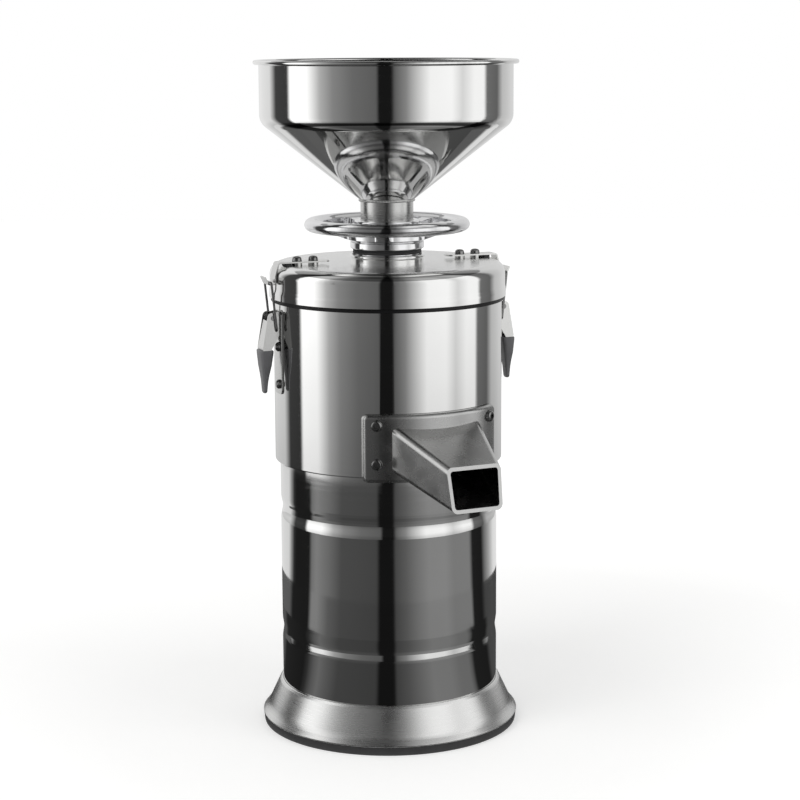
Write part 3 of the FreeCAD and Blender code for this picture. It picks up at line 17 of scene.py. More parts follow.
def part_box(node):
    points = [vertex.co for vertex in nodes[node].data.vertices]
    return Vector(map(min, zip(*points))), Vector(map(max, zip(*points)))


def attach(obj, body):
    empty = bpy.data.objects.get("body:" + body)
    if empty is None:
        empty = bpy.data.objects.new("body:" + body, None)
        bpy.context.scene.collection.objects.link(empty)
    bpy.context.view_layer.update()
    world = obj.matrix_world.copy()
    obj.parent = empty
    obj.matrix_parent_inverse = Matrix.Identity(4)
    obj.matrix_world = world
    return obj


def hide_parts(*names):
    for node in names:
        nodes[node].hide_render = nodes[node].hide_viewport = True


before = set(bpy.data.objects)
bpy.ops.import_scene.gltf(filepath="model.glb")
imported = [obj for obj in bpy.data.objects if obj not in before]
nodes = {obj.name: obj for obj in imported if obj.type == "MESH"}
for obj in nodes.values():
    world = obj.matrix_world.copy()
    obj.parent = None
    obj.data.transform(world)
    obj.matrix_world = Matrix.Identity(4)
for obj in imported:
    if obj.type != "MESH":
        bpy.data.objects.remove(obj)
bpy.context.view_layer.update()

# %% [markdown]
# ## The camera
# A long lens from two metres away keeps upright edges upright, as a product picture does. The
# camera looks slightly down, so that the top of the lid and the wheel can be seen.
# It could be aimed with a constraint, but a plain rotation is easier to move later.

# %% Place the camera
LOOK_AT = Vector((0.0126, 0.0, 0.3468))
CAMERA_DISTANCE = 2.2313
LOOK_DOWN = math.radians(10.0)
LENS = 94.7
ROLL = math.radians(-0.30)

camera_data = bpy.data.cameras.new("camera")
camera_data.lens = LENS
camera = bpy.data.objects.new("camera", camera_data)
bpy.context.collection.objects.link(camera)
back = Vector((0.0, -math.cos(LOOK_DOWN), math.sin(LOOK_DOWN)))
camera.location = LOOK_AT + back * CAMERA_DISTANCE
camera.rotation_mode = "QUATERNION"
camera.rotation_quaternion = (-back).to_track_quat("-Z", "Y") @ Quaternion((0, 0, 1), ROLL)
bpy.context.scene.camera = camera
bpy.context.scene.view_settings.view_transform = "Standard"
print("camera at", [round(c, 3) for c in camera.location])

# %% [markdown]
# ## Helpers for the finishes
# Every finish below is a little tree of shader nodes. `add_node` adds one node, sets it and wires
# it, so that a tree reads from top to bottom. Colours are written as on a paint card, in sRGB hex,
# and `linear` turns one into the numbers that the shader works with.

# %% Colours, nodes and an empty finish
def linear(hex_colour):
    """The linear colour, with alpha, of an sRGB hex such as D8D8D6."""
    shares = [int(hex_colour[i:i + 2], 16) / 255 for i in (0, 2, 4)]
    bent = [s / 12.92 if s <= 0.04045 else ((s + 0.055) / 1.055) ** 2.4 for s in shares]
    return (*bent, 1.0)


def add_node(tree, kind, values=None, links=None, **settings):
    """One node, with its settings, its input values and the sockets that feed it."""
    node = tree.nodes.new(kind)
    for name, setting in settings.items():
        setattr(node, name, setting)
    for socket, value in (values or {}).items():
        node.inputs[socket].default_value = value
    for socket, source in (links or {}).items():
        tree.links.new(source, node.inputs[socket])
    return node


def new_finish(name):
    """An empty material: itself, its tree, its main shader and the place on the part in metres."""
    finish = bpy.data.materials.new(name)
    finish.use_nodes = True
    tree = finish.node_tree
    tree.nodes.clear()
    shader = add_node(tree, "ShaderNodeBsdfPrincipled")
    add_node(tree, "ShaderNodeOutputMaterial", links={"Surface": shader.outputs["BSDF"]})
    place = add_node(tree, "ShaderNodeTexCoord").outputs["Object"]
    return finish, tree, shader, place

# %% [markdown]
# ## Patterns that the finishes share
# A pattern is a number from 0 to 1 that changes over the surface. `speckle` is noise whose spots
# have a real size in millimetres. `stretched` squeezes the place along one axis first, which turns
# spots into streaks. `shade` makes a pattern into a colour and `level` into a plain number.

# %% Speckles, streaks, shades and levels
def stretched(tree, place, squeeze):
    """The place with each axis scaled, so that spots become streaks along the small axes."""
    return add_node(tree, "ShaderNodeMapping", {"Scale": squeeze}, {"Vector": place}).outputs[0]


def speckle(tree, place, spot_mm, detail=3.0):
    """Noise whose spots are about spot_mm across."""
    values = {"Scale": 1000.0 / spot_mm, "Detail": detail}
    return add_node(tree, "ShaderNodeTexNoise", values, {"Vector": place}).outputs["Fac"]


def level(tree, pattern, low, high, start=0.3, end=0.7):
    """The pattern from start to end, spread from low to high."""
    values = {"From Min": start, "From Max": end, "To Min": low, "To Max": high}
    return add_node(tree, "ShaderNodeMapRange", values, {"Value": pattern}).outputs["Result"]


def shade(tree, pattern, dark, light):
    """A colour that goes from dark to light with the pattern."""
    mix = add_node(tree, "ShaderNodeMix", data_type="RGBA")
    mix.inputs[6].default_value = linear(dark)
    mix.inputs[7].default_value = linear(light)
    tree.links.new(pattern, mix.inputs[0])
    return mix.outputs[2]


def relief(tree, shader, pattern, height_mm, strength=1.0):
    """Bumps as high as height_mm where the pattern is 1."""
    values = {"Distance": height_mm / 1000.0, "Strength": strength}
    bump = add_node(tree, "ShaderNodeBump", values, {"Height": pattern})
    tree.links.new(bump.outputs["Normal"], shader.inputs["Normal"])

# %% [markdown]
# ## Mirror-buffed stainless steel
# The hopper, the lid and the two barrels are rolled from 1.5 mm sheet and buffed on a cloth wheel
# until they reflect like a mirror. A real buffed sheet is never quite flat: it bulges by a few
# hundredths of a millimetre, which bends a reflected edge a little, and the wheel leaves faint
# hazy streaks round the part.
# One could use a plain metal shader, but then every band of light comes out ruler-straight and
# the steel looks like plastic. Slow noise in the bump and fine streaks in the roughness cure that.

# %% Make the mirror-buffed steel
BUFFED_COLOURS = ("E2E2E1", "EAEAE9")
BUFFED_ROUGHNESS = (0.035, 0.075)


def buffed(tree, shader, place):
    """Give the shader the colour of buffed steel. The result is its roughness."""
    shader.inputs["Metallic"].default_value = 1.0
    haze = speckle(tree, stretched(tree, place, (0.06, 0.06, 1.0)), 3.0, 5.0)
    cloud = speckle(tree, place, 60.0, 2.0)
    tree.links.new(shade(tree, cloud, *BUFFED_COLOURS), shader.inputs["Base Color"])
    return level(tree, haze, *BUFFED_ROUGHNESS)


buffed_steel, tree, shader, place = new_finish("mirror_buffed_stainless_304")
tree.links.new(buffed(tree, shader, place), shader.inputs["Roughness"])
bulge = speckle(tree, stretched(tree, place, (1.0, 1.0, 0.35)), 45.0, 1.0)
relief(tree, shader, bulge, 0.05)
print("made", buffed_steel.name)

# %% [markdown]
# ## The lid's brushed top
# The lid is buffed like the barrels on its side, but its flat top is only brushed while it turns,
# so that it hides the scratches that hands and tools leave there. Both are one piece of steel, so
# they are one finish, and the height on the part says where the brushing starts.

# %% Make the lid's finish
LID_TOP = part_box("lid")[1].z
BRUSHING = (LID_TOP - 0.003, LID_TOP - 0.0005)     # where it starts and where it is full
BRUSHED_ROUGHNESS = (0.17, 0.24)
brushed_lid, tree, shader, place = new_finish("buffed_lid_with_brushed_top")
side = buffed(tree, shader, place)
height = add_node(tree, "ShaderNodeSeparateXYZ", links={0: place}).outputs["Z"]
brushed = level(tree, height, 0.0, 1.0, *BRUSHING)
top = level(tree, speckle(tree, place, 5.0), *BRUSHED_ROUGHNESS)
dull = add_node(tree, "ShaderNodeMix", links={0: brushed, 2: side, 3: top})
tree.links.new(dull.outputs[0], shader.inputs["Roughness"])
print("made", brushed_lid.name, "with its top at mm", round(1000 * LID_TOP, 1))

# %% [markdown]
# ## Chrome plate on a casting
# The handwheel is cast, ground and chrome plated. Plate copies the casting under it, so the shine
# is sharp but gently uneven, like orange peel, where sheet would be smooth.

# %% Make the chrome plate
chrome_plate, tree, shader, place = new_finish("chrome_plate_on_casting")
shader.inputs["Metallic"].default_value = 1.0
peel = speckle(tree, place, 7.0, 2.0)
cloud = speckle(tree, place, 25.0, 3.0)
tree.links.new(shade(tree, cloud, "DEDEDF", "EAEAEB"), shader.inputs["Base Color"])
tree.links.new(level(tree, cloud, 0.05, 0.10), shader.inputs["Roughness"])
relief(tree, shader, peel, 0.10)
print("made", chrome_plate.name)

# %% [markdown]
# ## Satin steel turned on a lathe
# The hopper's neck and the threaded sleeve are turned. The tool leaves fine grooves that run round
# the part, which spread a reflection up and down. The grooves are drawn 0.5 mm apart.

# %% Make the turned steel
turned_steel, tree, shader, place = new_finish("lathe_turned_stainless")
shader.inputs["Metallic"].default_value = 1.0
grooves = speckle(tree, stretched(tree, place, (0.02, 0.02, 1.0)), 0.5, 2.0)
cloud = speckle(tree, place, 12.0, 4.0)
tree.links.new(shade(tree, cloud, "BDBDBC", "CDCDCB"), shader.inputs["Base Color"])
tree.links.new(level(tree, grooves, 0.20, 0.28), shader.inputs["Roughness"])
relief(tree, shader, grooves, 0.006)
print("made", turned_steel.name)

# %% [markdown]
# ## Spun and linished aluminium
# The flared base is a casting whose outside is held against an abrasive belt while it turns. That
# leaves rings of fine scratches and a soft, wide shine, with a few coarser scratches and cloudy
# patches where the belt pressed harder.

# %% Make the linished aluminium
linished_alloy, tree, shader, place = new_finish("linished_cast_aluminium")
shader.inputs["Metallic"].default_value = 1.0
rings = speckle(tree, stretched(tree, place, (0.03, 0.03, 1.0)), 0.8, 3.0)
patch = speckle(tree, place, 28.0, 5.0)
tree.links.new(shade(tree, patch, "DEDEDD", "E8E8E7"), shader.inputs["Base Color"])
both = add_node(tree, "ShaderNodeMath", operation="MULTIPLY", links={0: rings, 1: patch})
tree.links.new(level(tree, both.outputs[0], 0.25, 0.32, 0.1, 0.45), shader.inputs["Roughness"])
relief(tree, shader, rings, 0.004)
print("made", linished_alloy.name)

# %% [markdown]
# ## Blasted castings
# The spout and the disc carrier are cast in a ceramic shell and blasted with glass beads. The skin
# is an even, satin silver-grey with tiny pits. Noise of two sizes is multiplied, so that the pits
# come in drifts, as blasting leaves them, and not as an even pepper.

# %% Make the blasted casting
blasted_casting, tree, shader, place = new_finish("bead_blasted_cast_stainless")
shader.inputs["Metallic"].default_value = 1.0
pits = speckle(tree, place, 0.9, 3.0)
cloud = speckle(tree, place, 18.0, 4.0)
grain = add_node(tree, "ShaderNodeMath", operation="MULTIPLY", links={0: pits, 1: cloud})
skin = shade(tree, level(tree, grain.outputs[0], 0.0, 1.0, 0.10, 0.45), "B8B8B7", "C4C4C3")
tree.links.new(skin, shader.inputs["Base Color"])
tree.links.new(level(tree, cloud, 0.22, 0.31), shader.inputs["Roughness"])
relief(tree, shader, pits, 0.004)
print("made", blasted_casting.name)

# %% [markdown]
# ## Sand-cast aluminium
# The chamber floor, the lid's inner plate and the motor's end brackets are cast in sand. Their skin
# is coarser than the spout's, with 2 mm grains, and a little whiter.

# %% Make the sand-cast aluminium
cast_alloy, tree, shader, place = new_finish("sand_cast_aluminium")
shader.inputs["Metallic"].default_value = 1.0
grain = speckle(tree, place, 2.0, 4.0)
tree.links.new(shade(tree, grain, "A9A9A7", "C9C9C6"), shader.inputs["Base Color"])
tree.links.new(level(tree, grain, 0.38, 0.55), shader.inputs["Roughness"])
relief(tree, shader, grain, 0.12)
print("made", cast_alloy.name)

# %% [markdown]
# ## Pressed and tumbled steel
# The catches are pressed from strip and tumbled with stones until their burrs are gone. That gives
# a bright surface with short scratches in all directions. Two streaky noises that cross each
# other draw them.

# %% Make the pressed steel
pressed_steel, tree, shader, place = new_finish("tumbled_pressed_stainless")
shader.inputs["Metallic"].default_value = 1.0
one_way = speckle(tree, stretched(tree, place, (1.0, 1.0, 0.12)), 0.8, 3.0)
other_way = speckle(tree, stretched(tree, place, (0.12, 0.5, 1.0)), 0.8, 3.0)
crossed = add_node(tree, "ShaderNodeMath", operation="MAXIMUM", links={0: one_way, 1: other_way})
tree.links.new(shade(tree, crossed.outputs[0], "C6C6C5", "DCDCDA"), shader.inputs["Base Color"])
tree.links.new(level(tree, crossed.outputs[0], 0.12, 0.26, 0.4, 0.7), shader.inputs["Roughness"])
relief(tree, shader, crossed.outputs[0], 0.03)
print("made", pressed_steel.name)

# %% [markdown]
# ## Screws and wire
# The screws and the wire loops of the catches are drawn and headed stainless steel. They are
# electropolished, which leaves them bright but darker than buffed sheet, with a few drawing lines.

# %% Make the screw steel
screw_steel, tree, shader, place = new_finish("electropolished_screw_steel")
shader.inputs["Metallic"].default_value = 1.0
lines = speckle(tree, place, 1.5, 4.0)
tree.links.new(shade(tree, lines, "7C7C7C", "9C9C9B"), shader.inputs["Base Color"])
tree.links.new(level(tree, lines, 0.14, 0.26), shader.inputs["Roughness"])
relief(tree, shader, lines, 0.02)
print("made", screw_steel.name)

# %% [markdown]
# ## Zinc plate
# Cheap steel parts that nobody sees, such as the bottom plate, are zinc plated. Zinc grows in
# flat crystals, so the grey is broken into dull and bright spangles. Voronoi cells are such a
# pattern, and their random colour gives each spangle its own grey.

# %% Make the zinc plate
zinc_plate, tree, shader, place = new_finish("zinc_plated_steel")
shader.inputs["Metallic"].default_value = 1.0
cells = add_node(tree, "ShaderNodeTexVoronoi", {"Scale": 160.0}, {"Vector": place})
spangle = add_node(tree, "ShaderNodeSeparateColor", links={"Color": cells.outputs["Color"]})
tree.links.new(shade(tree, spangle.outputs[0], "A2A5A8", "BFC2C4"), shader.inputs["Base Color"])
tree.links.new(level(tree, spangle.outputs[1], 0.26, 0.42, 0.0, 1.0), shader.inputs["Roughness"])
print("made", zinc_plate.name)

# %% [markdown]
# ## Ground steel
# The motor's shaft, the bearings' rings and the two grinding discs are hardened and ground. The
# wheel leaves marks so fine that only a slight sheen in rings shows.

# %% Make the ground steel
ground_steel, tree, shader, place = new_finish("hardened_ground_steel")
shader.inputs["Metallic"].default_value = 1.0
marks = speckle(tree, stretched(tree, place, (0.05, 0.05, 1.0)), 0.6, 3.0)
tree.links.new(shade(tree, marks, "ABABAD", "C2C2C3"), shader.inputs["Base Color"])
tree.links.new(level(tree, marks, 0.16, 0.30), shader.inputs["Roughness"])
relief(tree, shader, marks, 0.015)
print("made", ground_steel.name)

# %% [markdown]
# ## Motor laminations
# A motor's iron is a stack of 0.5 mm stampings, each coated so that no current runs between them.
# From the side one sees thin dark lines. They are drawn 1.5 mm apart, because real ones would be
# finer than a pixel.

# %% Make the laminated iron
LAMINATION_MM = 1.5
laminated_iron, tree, shader, place = new_finish("laminated_motor_iron")
shader.inputs["Metallic"].default_value = 1.0
values = {"Scale": 1000.0 / LAMINATION_MM * math.pi / 10.0, "Distortion": 0.4, "Detail": 1.0}
sheets = add_node(tree, "ShaderNodeTexWave", values, {"Vector": place}, bands_direction="Z")
tree.links.new(shade(tree, sheets.outputs["Fac"], "3C3E42", "8A8C90"), shader.inputs["Base Color"])
tree.links.new(level(tree, speckle(tree, place, 4.0), 0.35, 0.55), shader.inputs["Roughness"])
relief(tree, shader, sheets.outputs["Fac"], 0.15)
print("made", laminated_iron.name)

# %% [markdown]
# ## Enamelled copper wire
# The windings are copper under a clear brown varnish. The varnish is a second, smooth skin over
# the metal, which is what the shader's coat is for.

# %% Make the enamelled copper
enamelled_copper, tree, shader, place = new_finish("enamelled_copper_wire")
shader.inputs["Metallic"].default_value = 1.0
shader.inputs["Coat Weight"].default_value = 0.6
shader.inputs["Coat Roughness"].default_value = 0.12
strands = speckle(tree, stretched(tree, place, (1.0, 1.0, 0.3)), 1.6, 3.0)
tree.links.new(shade(tree, strands, "7A3418", "C46A34"), shader.inputs["Base Color"])
tree.links.new(level(tree, strands, 0.25, 0.40), shader.inputs["Roughness"])
relief(tree, shader, strands, 0.25)
print("made", enamelled_copper.name)

# %% [markdown]
# ## Rubber and silicone
# The foot, the seals and the pads are moulded rubber: nearly black, dull, with a faint bloom of
# grey and fine pores. The two gaskets are silicone, smoother and a little shiny.

# %% Make the moulded rubber
moulded_rubber, tree, shader, place = new_finish("moulded_black_rubber")
pores = speckle(tree, place, 0.8, 3.0)
bloom = speckle(tree, place, 22.0, 4.0)
tree.links.new(shade(tree, bloom, "2E2E2F", "454546"), shader.inputs["Base Color"])
tree.links.new(level(tree, pores, 0.55, 0.78), shader.inputs["Roughness"])
relief(tree, shader, pores, 0.08)
print("made", moulded_rubber.name)

# %% Make the silicone
silicone, tree, shader, place = new_finish("dark_grey_silicone")
cloud = speckle(tree, place, 9.0, 3.0)
tree.links.new(shade(tree, cloud, "0D0D0E", "171718"), shader.inputs["Base Color"])
tree.links.new(level(tree, cloud, 0.38, 0.50), shader.inputs["Roughness"])
shader.inputs["Specular IOR Level"].default_value = 0.3
relief(tree, shader, speckle(tree, place, 1.2), 0.03)
print("made", silicone.name)

# %% [markdown]
# ## Moulded plastics
# The fan is glass-filled nylon, the capacitor's can and the terminal block are pale polyester, and
# the switch and the cord gland are black ABS and nylon with a spark-eroded grain. They differ in
# colour, in the size of the grain and in how dull it makes them, so one short function makes all.

# %% Make the plastics
def moulded_plastic(name, dark, light, grain_mm, dull, height_mm):
    """Moulded plastic with a grain of that size, and two close shades from the mould's flow."""
    finish, tree, shader, place = new_finish(name)
    flow = speckle(tree, place, 14.0, 2.0)
    grain = speckle(tree, place, grain_mm, 2.0)
    tree.links.new(shade(tree, flow, dark, light), shader.inputs["Base Color"])
    tree.links.new(level(tree, grain, dull - 0.06, dull + 0.06), shader.inputs["Roughness"])
    relief(tree, shader, grain, height_mm)
    return finish


fan_nylon = moulded_plastic("glass_filled_nylon", "26282B", "33363A", 1.2, 0.50, 0.04)
terminal_polyester = moulded_plastic("terminal_polyester", "C9C5B8", "D8D4C8", 0.9, 0.42, 0.03)
capacitor_can = moulded_plastic("capacitor_can_plastic", "D6D6D2", "E4E4E0", 1.5, 0.30, 0.02)
switch_abs = moulded_plastic("grained_black_abs", "18181A", "222224", 0.7, 0.40, 0.04)
gland_nylon = moulded_plastic("black_gland_nylon", "1C1C1E", "28282A", 1.0, 0.48, 0.03)
print("made 5 plastics")

# %% [markdown]
# ## Which part gets which finish
# The finish goes into each part's own material slot. The list is by finish, so that one can see at
# a glance what is made the same way, and the last line says if a part was forgotten.

# %% Dress the parts
DRESS = {
    buffed_steel: "motor_casing grinding_barrel lid_collar hopper_bowl",
    brushed_lid: "lid",
    chrome_plate: "handwheel",
    turned_steel: "hopper_neck adjusting_sleeve",
    linished_alloy: "base_flare",
    blasted_casting: "chute disc_carrier",
    cast_alloy: "chamber_floor lid_plate upper_end_bracket lower_end_bracket",
    pressed_steel: "latch_bases latch_keepers left_latch_lever right_latch_lever "
                   "keeper_spacers",
    screw_steel: "chute_screws keeper_screws latch_screws latch_pins left_latch_bail "
                 "right_latch_bail tie_bolts disc_nut disc_screws",
    zinc_plate: "bottom_plate base_screws",
    ground_steel: "motor_shaft upper_bearing lower_bearing lower_grinding_disc "
                  "upper_grinding_disc",
    laminated_iron: "stator_core rotor_core",
    enamelled_copper: "stator_windings",
    moulded_rubber: "foot_ring keeper_pads wheel_seal shaft_seal capacitor_cup",
    silicone: "lid_gasket chute_gasket",
    fan_nylon: "cooling_fan",
    terminal_polyester: "terminal_block",
    capacitor_can: "run_capacitor",
    switch_abs: "switch_bezel rocker_switch",
    gland_nylon: "cord_gland gland_nut",
}
dressed = set()
for finish, names in DRESS.items():
    for name in names.split():
        for slot in nodes[name].material_slots:
            slot.material = finish
        dressed.add(name)
print("dressed", len(dressed), "parts, forgotten:", sorted(set(nodes) - dressed))

# %% [markdown]
# ## The hopper's rolled edge
# The hopper's edge is rolled round a wire, and a mirror-bright roll of that size shows every facet
# of a mesh as a row of beads. A roll has an easy answer: at each point it faces straight away from
# the wire's centre line. So the faces stay as they are and only their shading is told which way the
# true surface looks.

# %% Tell the rolled edge which way it faces
ROLL_R = 2.2e-3
ROLL_HEIGHT = 4.6e-3
ROLL_WIDTH = 7.0e-3
ROLL_REACH = 1.01 * ROLL_R     # a point this near the wire's line belongs to the roll
bowl = nodes["hopper_bowl"].data
_, bowl_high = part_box("hopper_bowl")
roll_out = bowl_high.x - ROLL_R
roll_in = bowl_high.x - ROLL_WIDTH + ROLL_R
roll_low = bowl_high.z - ROLL_HEIGHT + ROLL_R
roll_high = bowl_high.z - ROLL_R
looks = []
for polygon in bowl.polygons:
    for corner in polygon.loop_indices:
        point = bowl.vertices[bowl.loops[corner].vertex_index].co
        out = math.hypot(point.x, point.y)
        outer_part = out > roll_in and point.z > roll_low - ROLL_REACH
        if outer_part or point.z > roll_high:
            away = out - min(max(out, roll_in), roll_out)
            up = point.z - min(max(point.z, roll_low), roll_high)
            look = Vector((point.x / out * away, point.y / out * away, up))
            polygon.use_smooth = True
        else:
            look = Vector(bowl.corner_normals[corner].vector)
        looks.append(look.normalized() if look.length > 0 else Vector((0, 0, 1)))
bowl.normals_split_custom_set(looks)
print("rolled edge between", round(roll_in * 1000, 1), "and", round(roll_out * 1000, 1), "mm")

# %% [markdown]
# ## Grips on the catches
# The lower half of each lever is dipped in grey vinyl, which gives the thumb a warm, thick edge and
# hides the sheared steel. Dipped vinyl is thickest where the lever is widest and thins towards the
# tip. A solidify modifier on the lever would follow every fold of the sheet, but a real dip fills
# the hollow between the cheeks. So each grip is a stack of rounded sections round the lever.

# %% Dip the levers
vinyl_dip, tree, shader, place = new_finish("dark_grey_vinyl_dip")
flow = speckle(tree, stretched(tree, place, (1.0, 1.0, 0.4)), 9.0, 3.0)
tree.links.new(shade(tree, flow, "5E5E60", "6E6E70"), shader.inputs["Base Color"])
tree.links.new(level(tree, speckle(tree, place, 0.9), 0.34, 0.46), shader.inputs["Roughness"])
relief(tree, shader, speckle(tree, place, 1.4, 2.0), 0.04)

BARREL_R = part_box("grinding_barrel")[1].x
LEVER_TIP_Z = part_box("left_latch_lever")[0].z
CATCHES = {"left_lever": -70.0, "right_lever": 110.0}
# up from the lever's tip, inner and outer face away from the barrel, and half width, all in mm
GRIP_SECTIONS = [
    (-0.6, 14.6, 17.2, 3.0), (0.8, 14.0, 17.8, 5.2), (12.0, 12.9, 18.6, 6.2),
    (18.5, 11.8, 19.3, 7.6), (28.0, 9.9, 20.6, 10.4), (41.0, 7.8, 21.8, 11.7),
    (43.8, 7.6, 21.9, 11.8), (44.6, 8.4, 21.2, 11.0),
]
GRIP_POINTS = 32
GRIP_STEPS = 5
SQUARENESS = 0.45


def grip_ring(section):
    """Points round one section: away from the barrel, sideways and up, in metres."""
    up, inner, outer, half = [mm / 1000 for mm in section]
    points = []
    for i in range(GRIP_POINTS):
        turn = 2 * math.pi * i / GRIP_POINTS
        c, s = math.cos(turn), math.sin(turn)
        out = math.copysign(abs(c) ** SQUARENESS, c) * (outer - inner) / 2
        side = math.copysign(abs(s) ** SQUARENESS, s) * half
        points.append((BARREL_R + (inner + outer) / 2 + out, side, LEVER_TIP_Z + up))
    return points


def grip(body, azimuth):
    """One dipped grip, which swings with its lever."""
    sections = []
    for low, high in zip(GRIP_SECTIONS, GRIP_SECTIONS[1:]):
        for i in range(GRIP_STEPS):
            share = i / GRIP_STEPS
            sections.append([a + (b - a) * share for a, b in zip(low, high)])
    sections.append(GRIP_SECTIONS[-1])
    turn = math.radians(azimuth)
    outward = Vector((math.sin(turn), -math.cos(turn), 0))
    sideways = Vector((math.cos(turn), math.sin(turn), 0))
    dip = bmesh.new()
    rings = []
    for section in sections:
        rings.append([dip.verts.new(outward * out + sideways * side + Vector((0, 0, up)))
                      for out, side, up in grip_ring(section)])
    for low, high in zip(rings, rings[1:]):
        for i in range(GRIP_POINTS):
            n = (i + 1) % GRIP_POINTS
            dip.faces.new((low[i], low[n], high[n], high[i]))
    dip.faces.new(rings[0][::-1])
    dip.faces.new(rings[-1])
    bmesh.ops.recalc_face_normals(dip, faces=dip.faces)
    mesh = bpy.data.meshes.new(body + "_grip")
    dip.to_mesh(mesh)
    dip.free()
    mesh.shade_smooth()
    mesh.materials.append(vinyl_dip)
    piece = bpy.data.objects.new(body + "_grip", mesh)
    bpy.context.collection.objects.link(piece)
    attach(piece, body)
    return piece


grips = [grip(body, azimuth) for body, azimuth in CATCHES.items()]
print("grips:", [g.name for g in grips])

# %% [markdown]
# ## Pieces that repeat
# Coil bundles, ripples of a weld and ribs on a nut all repeat round an axis. Geometry Nodes suit
# that: one tree says what a single one looks like and how often it comes, and its sizes stay
# inputs. `new_tree` starts such a tree, `sum_of` adds one sum to it and `baked` turns its result
# into a plain mesh, because only a plain mesh can be sent to other programs.

# %% Start a tree and bake it
def new_tree(name, sizes):
    """A Geometry Nodes tree with named sizes, the sockets that give them and its end node."""
    tree = bpy.data.node_groups.new(name, "GeometryNodeTree")
    for size, value in sizes.items():
        kind = "NodeSocketInt" if isinstance(value, int) else "NodeSocketFloat"
        tree.interface.new_socket(size, in_out="INPUT", socket_type=kind).default_value = value
    tree.interface.new_socket("Geometry", in_out="OUTPUT", socket_type="NodeSocketGeometry")
    return tree, add_node(tree, "NodeGroupInput").outputs, add_node(tree, "NodeGroupOutput")


def sum_of(tree, operation, first, second=0.0):
    """One sum, with a socket or a number on each side."""
    node = add_node(tree, "ShaderNodeMath", operation=operation)
    for index, part in enumerate((first, second)):
        if isinstance(part, (int, float)):
            node.inputs[index].default_value = part
        else:
            tree.links.new(part, node.inputs[index])
    return node.outputs[0]


def finish_tree(tree, end, instances, material):
    """Real geometry, smooth and with its material, into the tree's end."""
    real = add_node(tree, "GeometryNodeRealizeInstances", links={0: instances}).outputs[0]
    smooth = add_node(tree, "GeometryNodeSetShadeSmooth", links={"Geometry": real}).outputs[0]
    done = add_node(tree, "GeometryNodeSetMaterial", {"Material": material}, {"Geometry": smooth})
    tree.links.new(done.outputs[0], end.inputs[0])


def baked(name, tree, sizes):
    """A plain mesh object that the tree makes with these sizes."""
    piece = bpy.data.objects.new(name, bpy.data.meshes.new(name + "_start"))
    bpy.context.collection.objects.link(piece)
    modifier = piece.modifiers.new("build", "NODES")
    modifier.node_group = tree
    for item in tree.interface.items_tree:
        if item.in_out == "INPUT":
            modifier[item.identifier] = sizes[item.name]
    bpy.context.view_layer.update()
    whole = piece.evaluated_get(bpy.context.evaluated_depsgraph_get())
    mesh = bpy.data.meshes.new_from_object(whole)
    piece.modifiers.clear()
    piece.data = mesh
    mesh.name = name
    print(name, "has", len(mesh.polygons), "faces")
    return piece

# %% [markdown]
# ## The motor's windings
# The ends of the coils stick out above and below the motor's iron as two crowns of round bundles.
# Each bundle leaves a slot, arches over and goes back into the iron a quarter turn on, a little
# further out, so that the crown looks plaited. The tree bends a straight line into one such arch,
# sweeps a round section along it and repeats it for every slot. The lower crown is the upper one
# turned over, because a mirrored copy would come out inside out.

# %% Wind the motor
ARCH_POINTS = 28
ARCH_POWER = 0.45        # the smaller, the flatter the top of an arch
SECTION_POINTS = 10

coil_tree, size, end = new_tree("coil_crowns", {
    "Coils": 12, "Radius": 0.05, "Spread": 0.01, "Span": 1.7, "Rise": 0.015, "Thickness": 0.004,
    "Upper": 0.2, "Lower": 0.1})

line = add_node(coil_tree, "GeometryNodeCurvePrimitiveLine").outputs[0]
line = add_node(coil_tree, "GeometryNodeResampleCurve", {"Count": ARCH_POINTS},
                {"Curve": line}).outputs[0]
along = add_node(coil_tree, "GeometryNodeSplineParameter").outputs["Factor"]
centred = sum_of(coil_tree, "SUBTRACT", along, 0.5)
angle = sum_of(coil_tree, "MULTIPLY", centred, size["Span"])
outward = sum_of(coil_tree, "MULTIPLY", centred, size["Spread"])
reach = sum_of(coil_tree, "ADD", size["Radius"], outward)
arch = sum_of(coil_tree, "SINE", sum_of(coil_tree, "MULTIPLY", along, math.pi))
flat_arch = sum_of(coil_tree, "POWER", sum_of(coil_tree, "MAXIMUM", arch), ARCH_POWER)
bent = add_node(coil_tree, "ShaderNodeCombineXYZ", links={
    0: sum_of(coil_tree, "MULTIPLY", reach, sum_of(coil_tree, "COSINE", angle)),
    1: sum_of(coil_tree, "MULTIPLY", reach, sum_of(coil_tree, "SINE", angle)),
    2: sum_of(coil_tree, "MULTIPLY", flat_arch, size["Rise"])}).outputs[0]
path = add_node(coil_tree, "GeometryNodeSetPosition", links={"Geometry": line, "Position": bent})
section = add_node(coil_tree, "GeometryNodeCurvePrimitiveCircle", {"Resolution": SECTION_POINTS},
                   {"Radius": size["Thickness"]}).outputs[0]
bundle = add_node(coil_tree, "GeometryNodeCurveToMesh", {"Fill Caps": True},
                  {"Curve": path.outputs[0], "Profile Curve": section}).outputs[0]
spots = add_node(coil_tree, "GeometryNodePoints", links={"Count": size["Coils"]}).outputs[0]
number = add_node(coil_tree, "GeometryNodeInputIndex").outputs[0]
step = sum_of(coil_tree, "DIVIDE", 2 * math.pi, size["Coils"])
turn = add_node(coil_tree, "ShaderNodeCombineXYZ",
                links={2: sum_of(coil_tree, "MULTIPLY", number, step)}).outputs[0]
crown = add_node(coil_tree, "GeometryNodeInstanceOnPoints",
                 links={"Points": spots, "Instance": bundle, "Rotation": turn}).outputs[0]
lift = add_node(coil_tree, "ShaderNodeCombineXYZ", links={2: size["Upper"]}).outputs[0]
drop = add_node(coil_tree, "ShaderNodeCombineXYZ", links={2: size["Lower"]}).outputs[0]
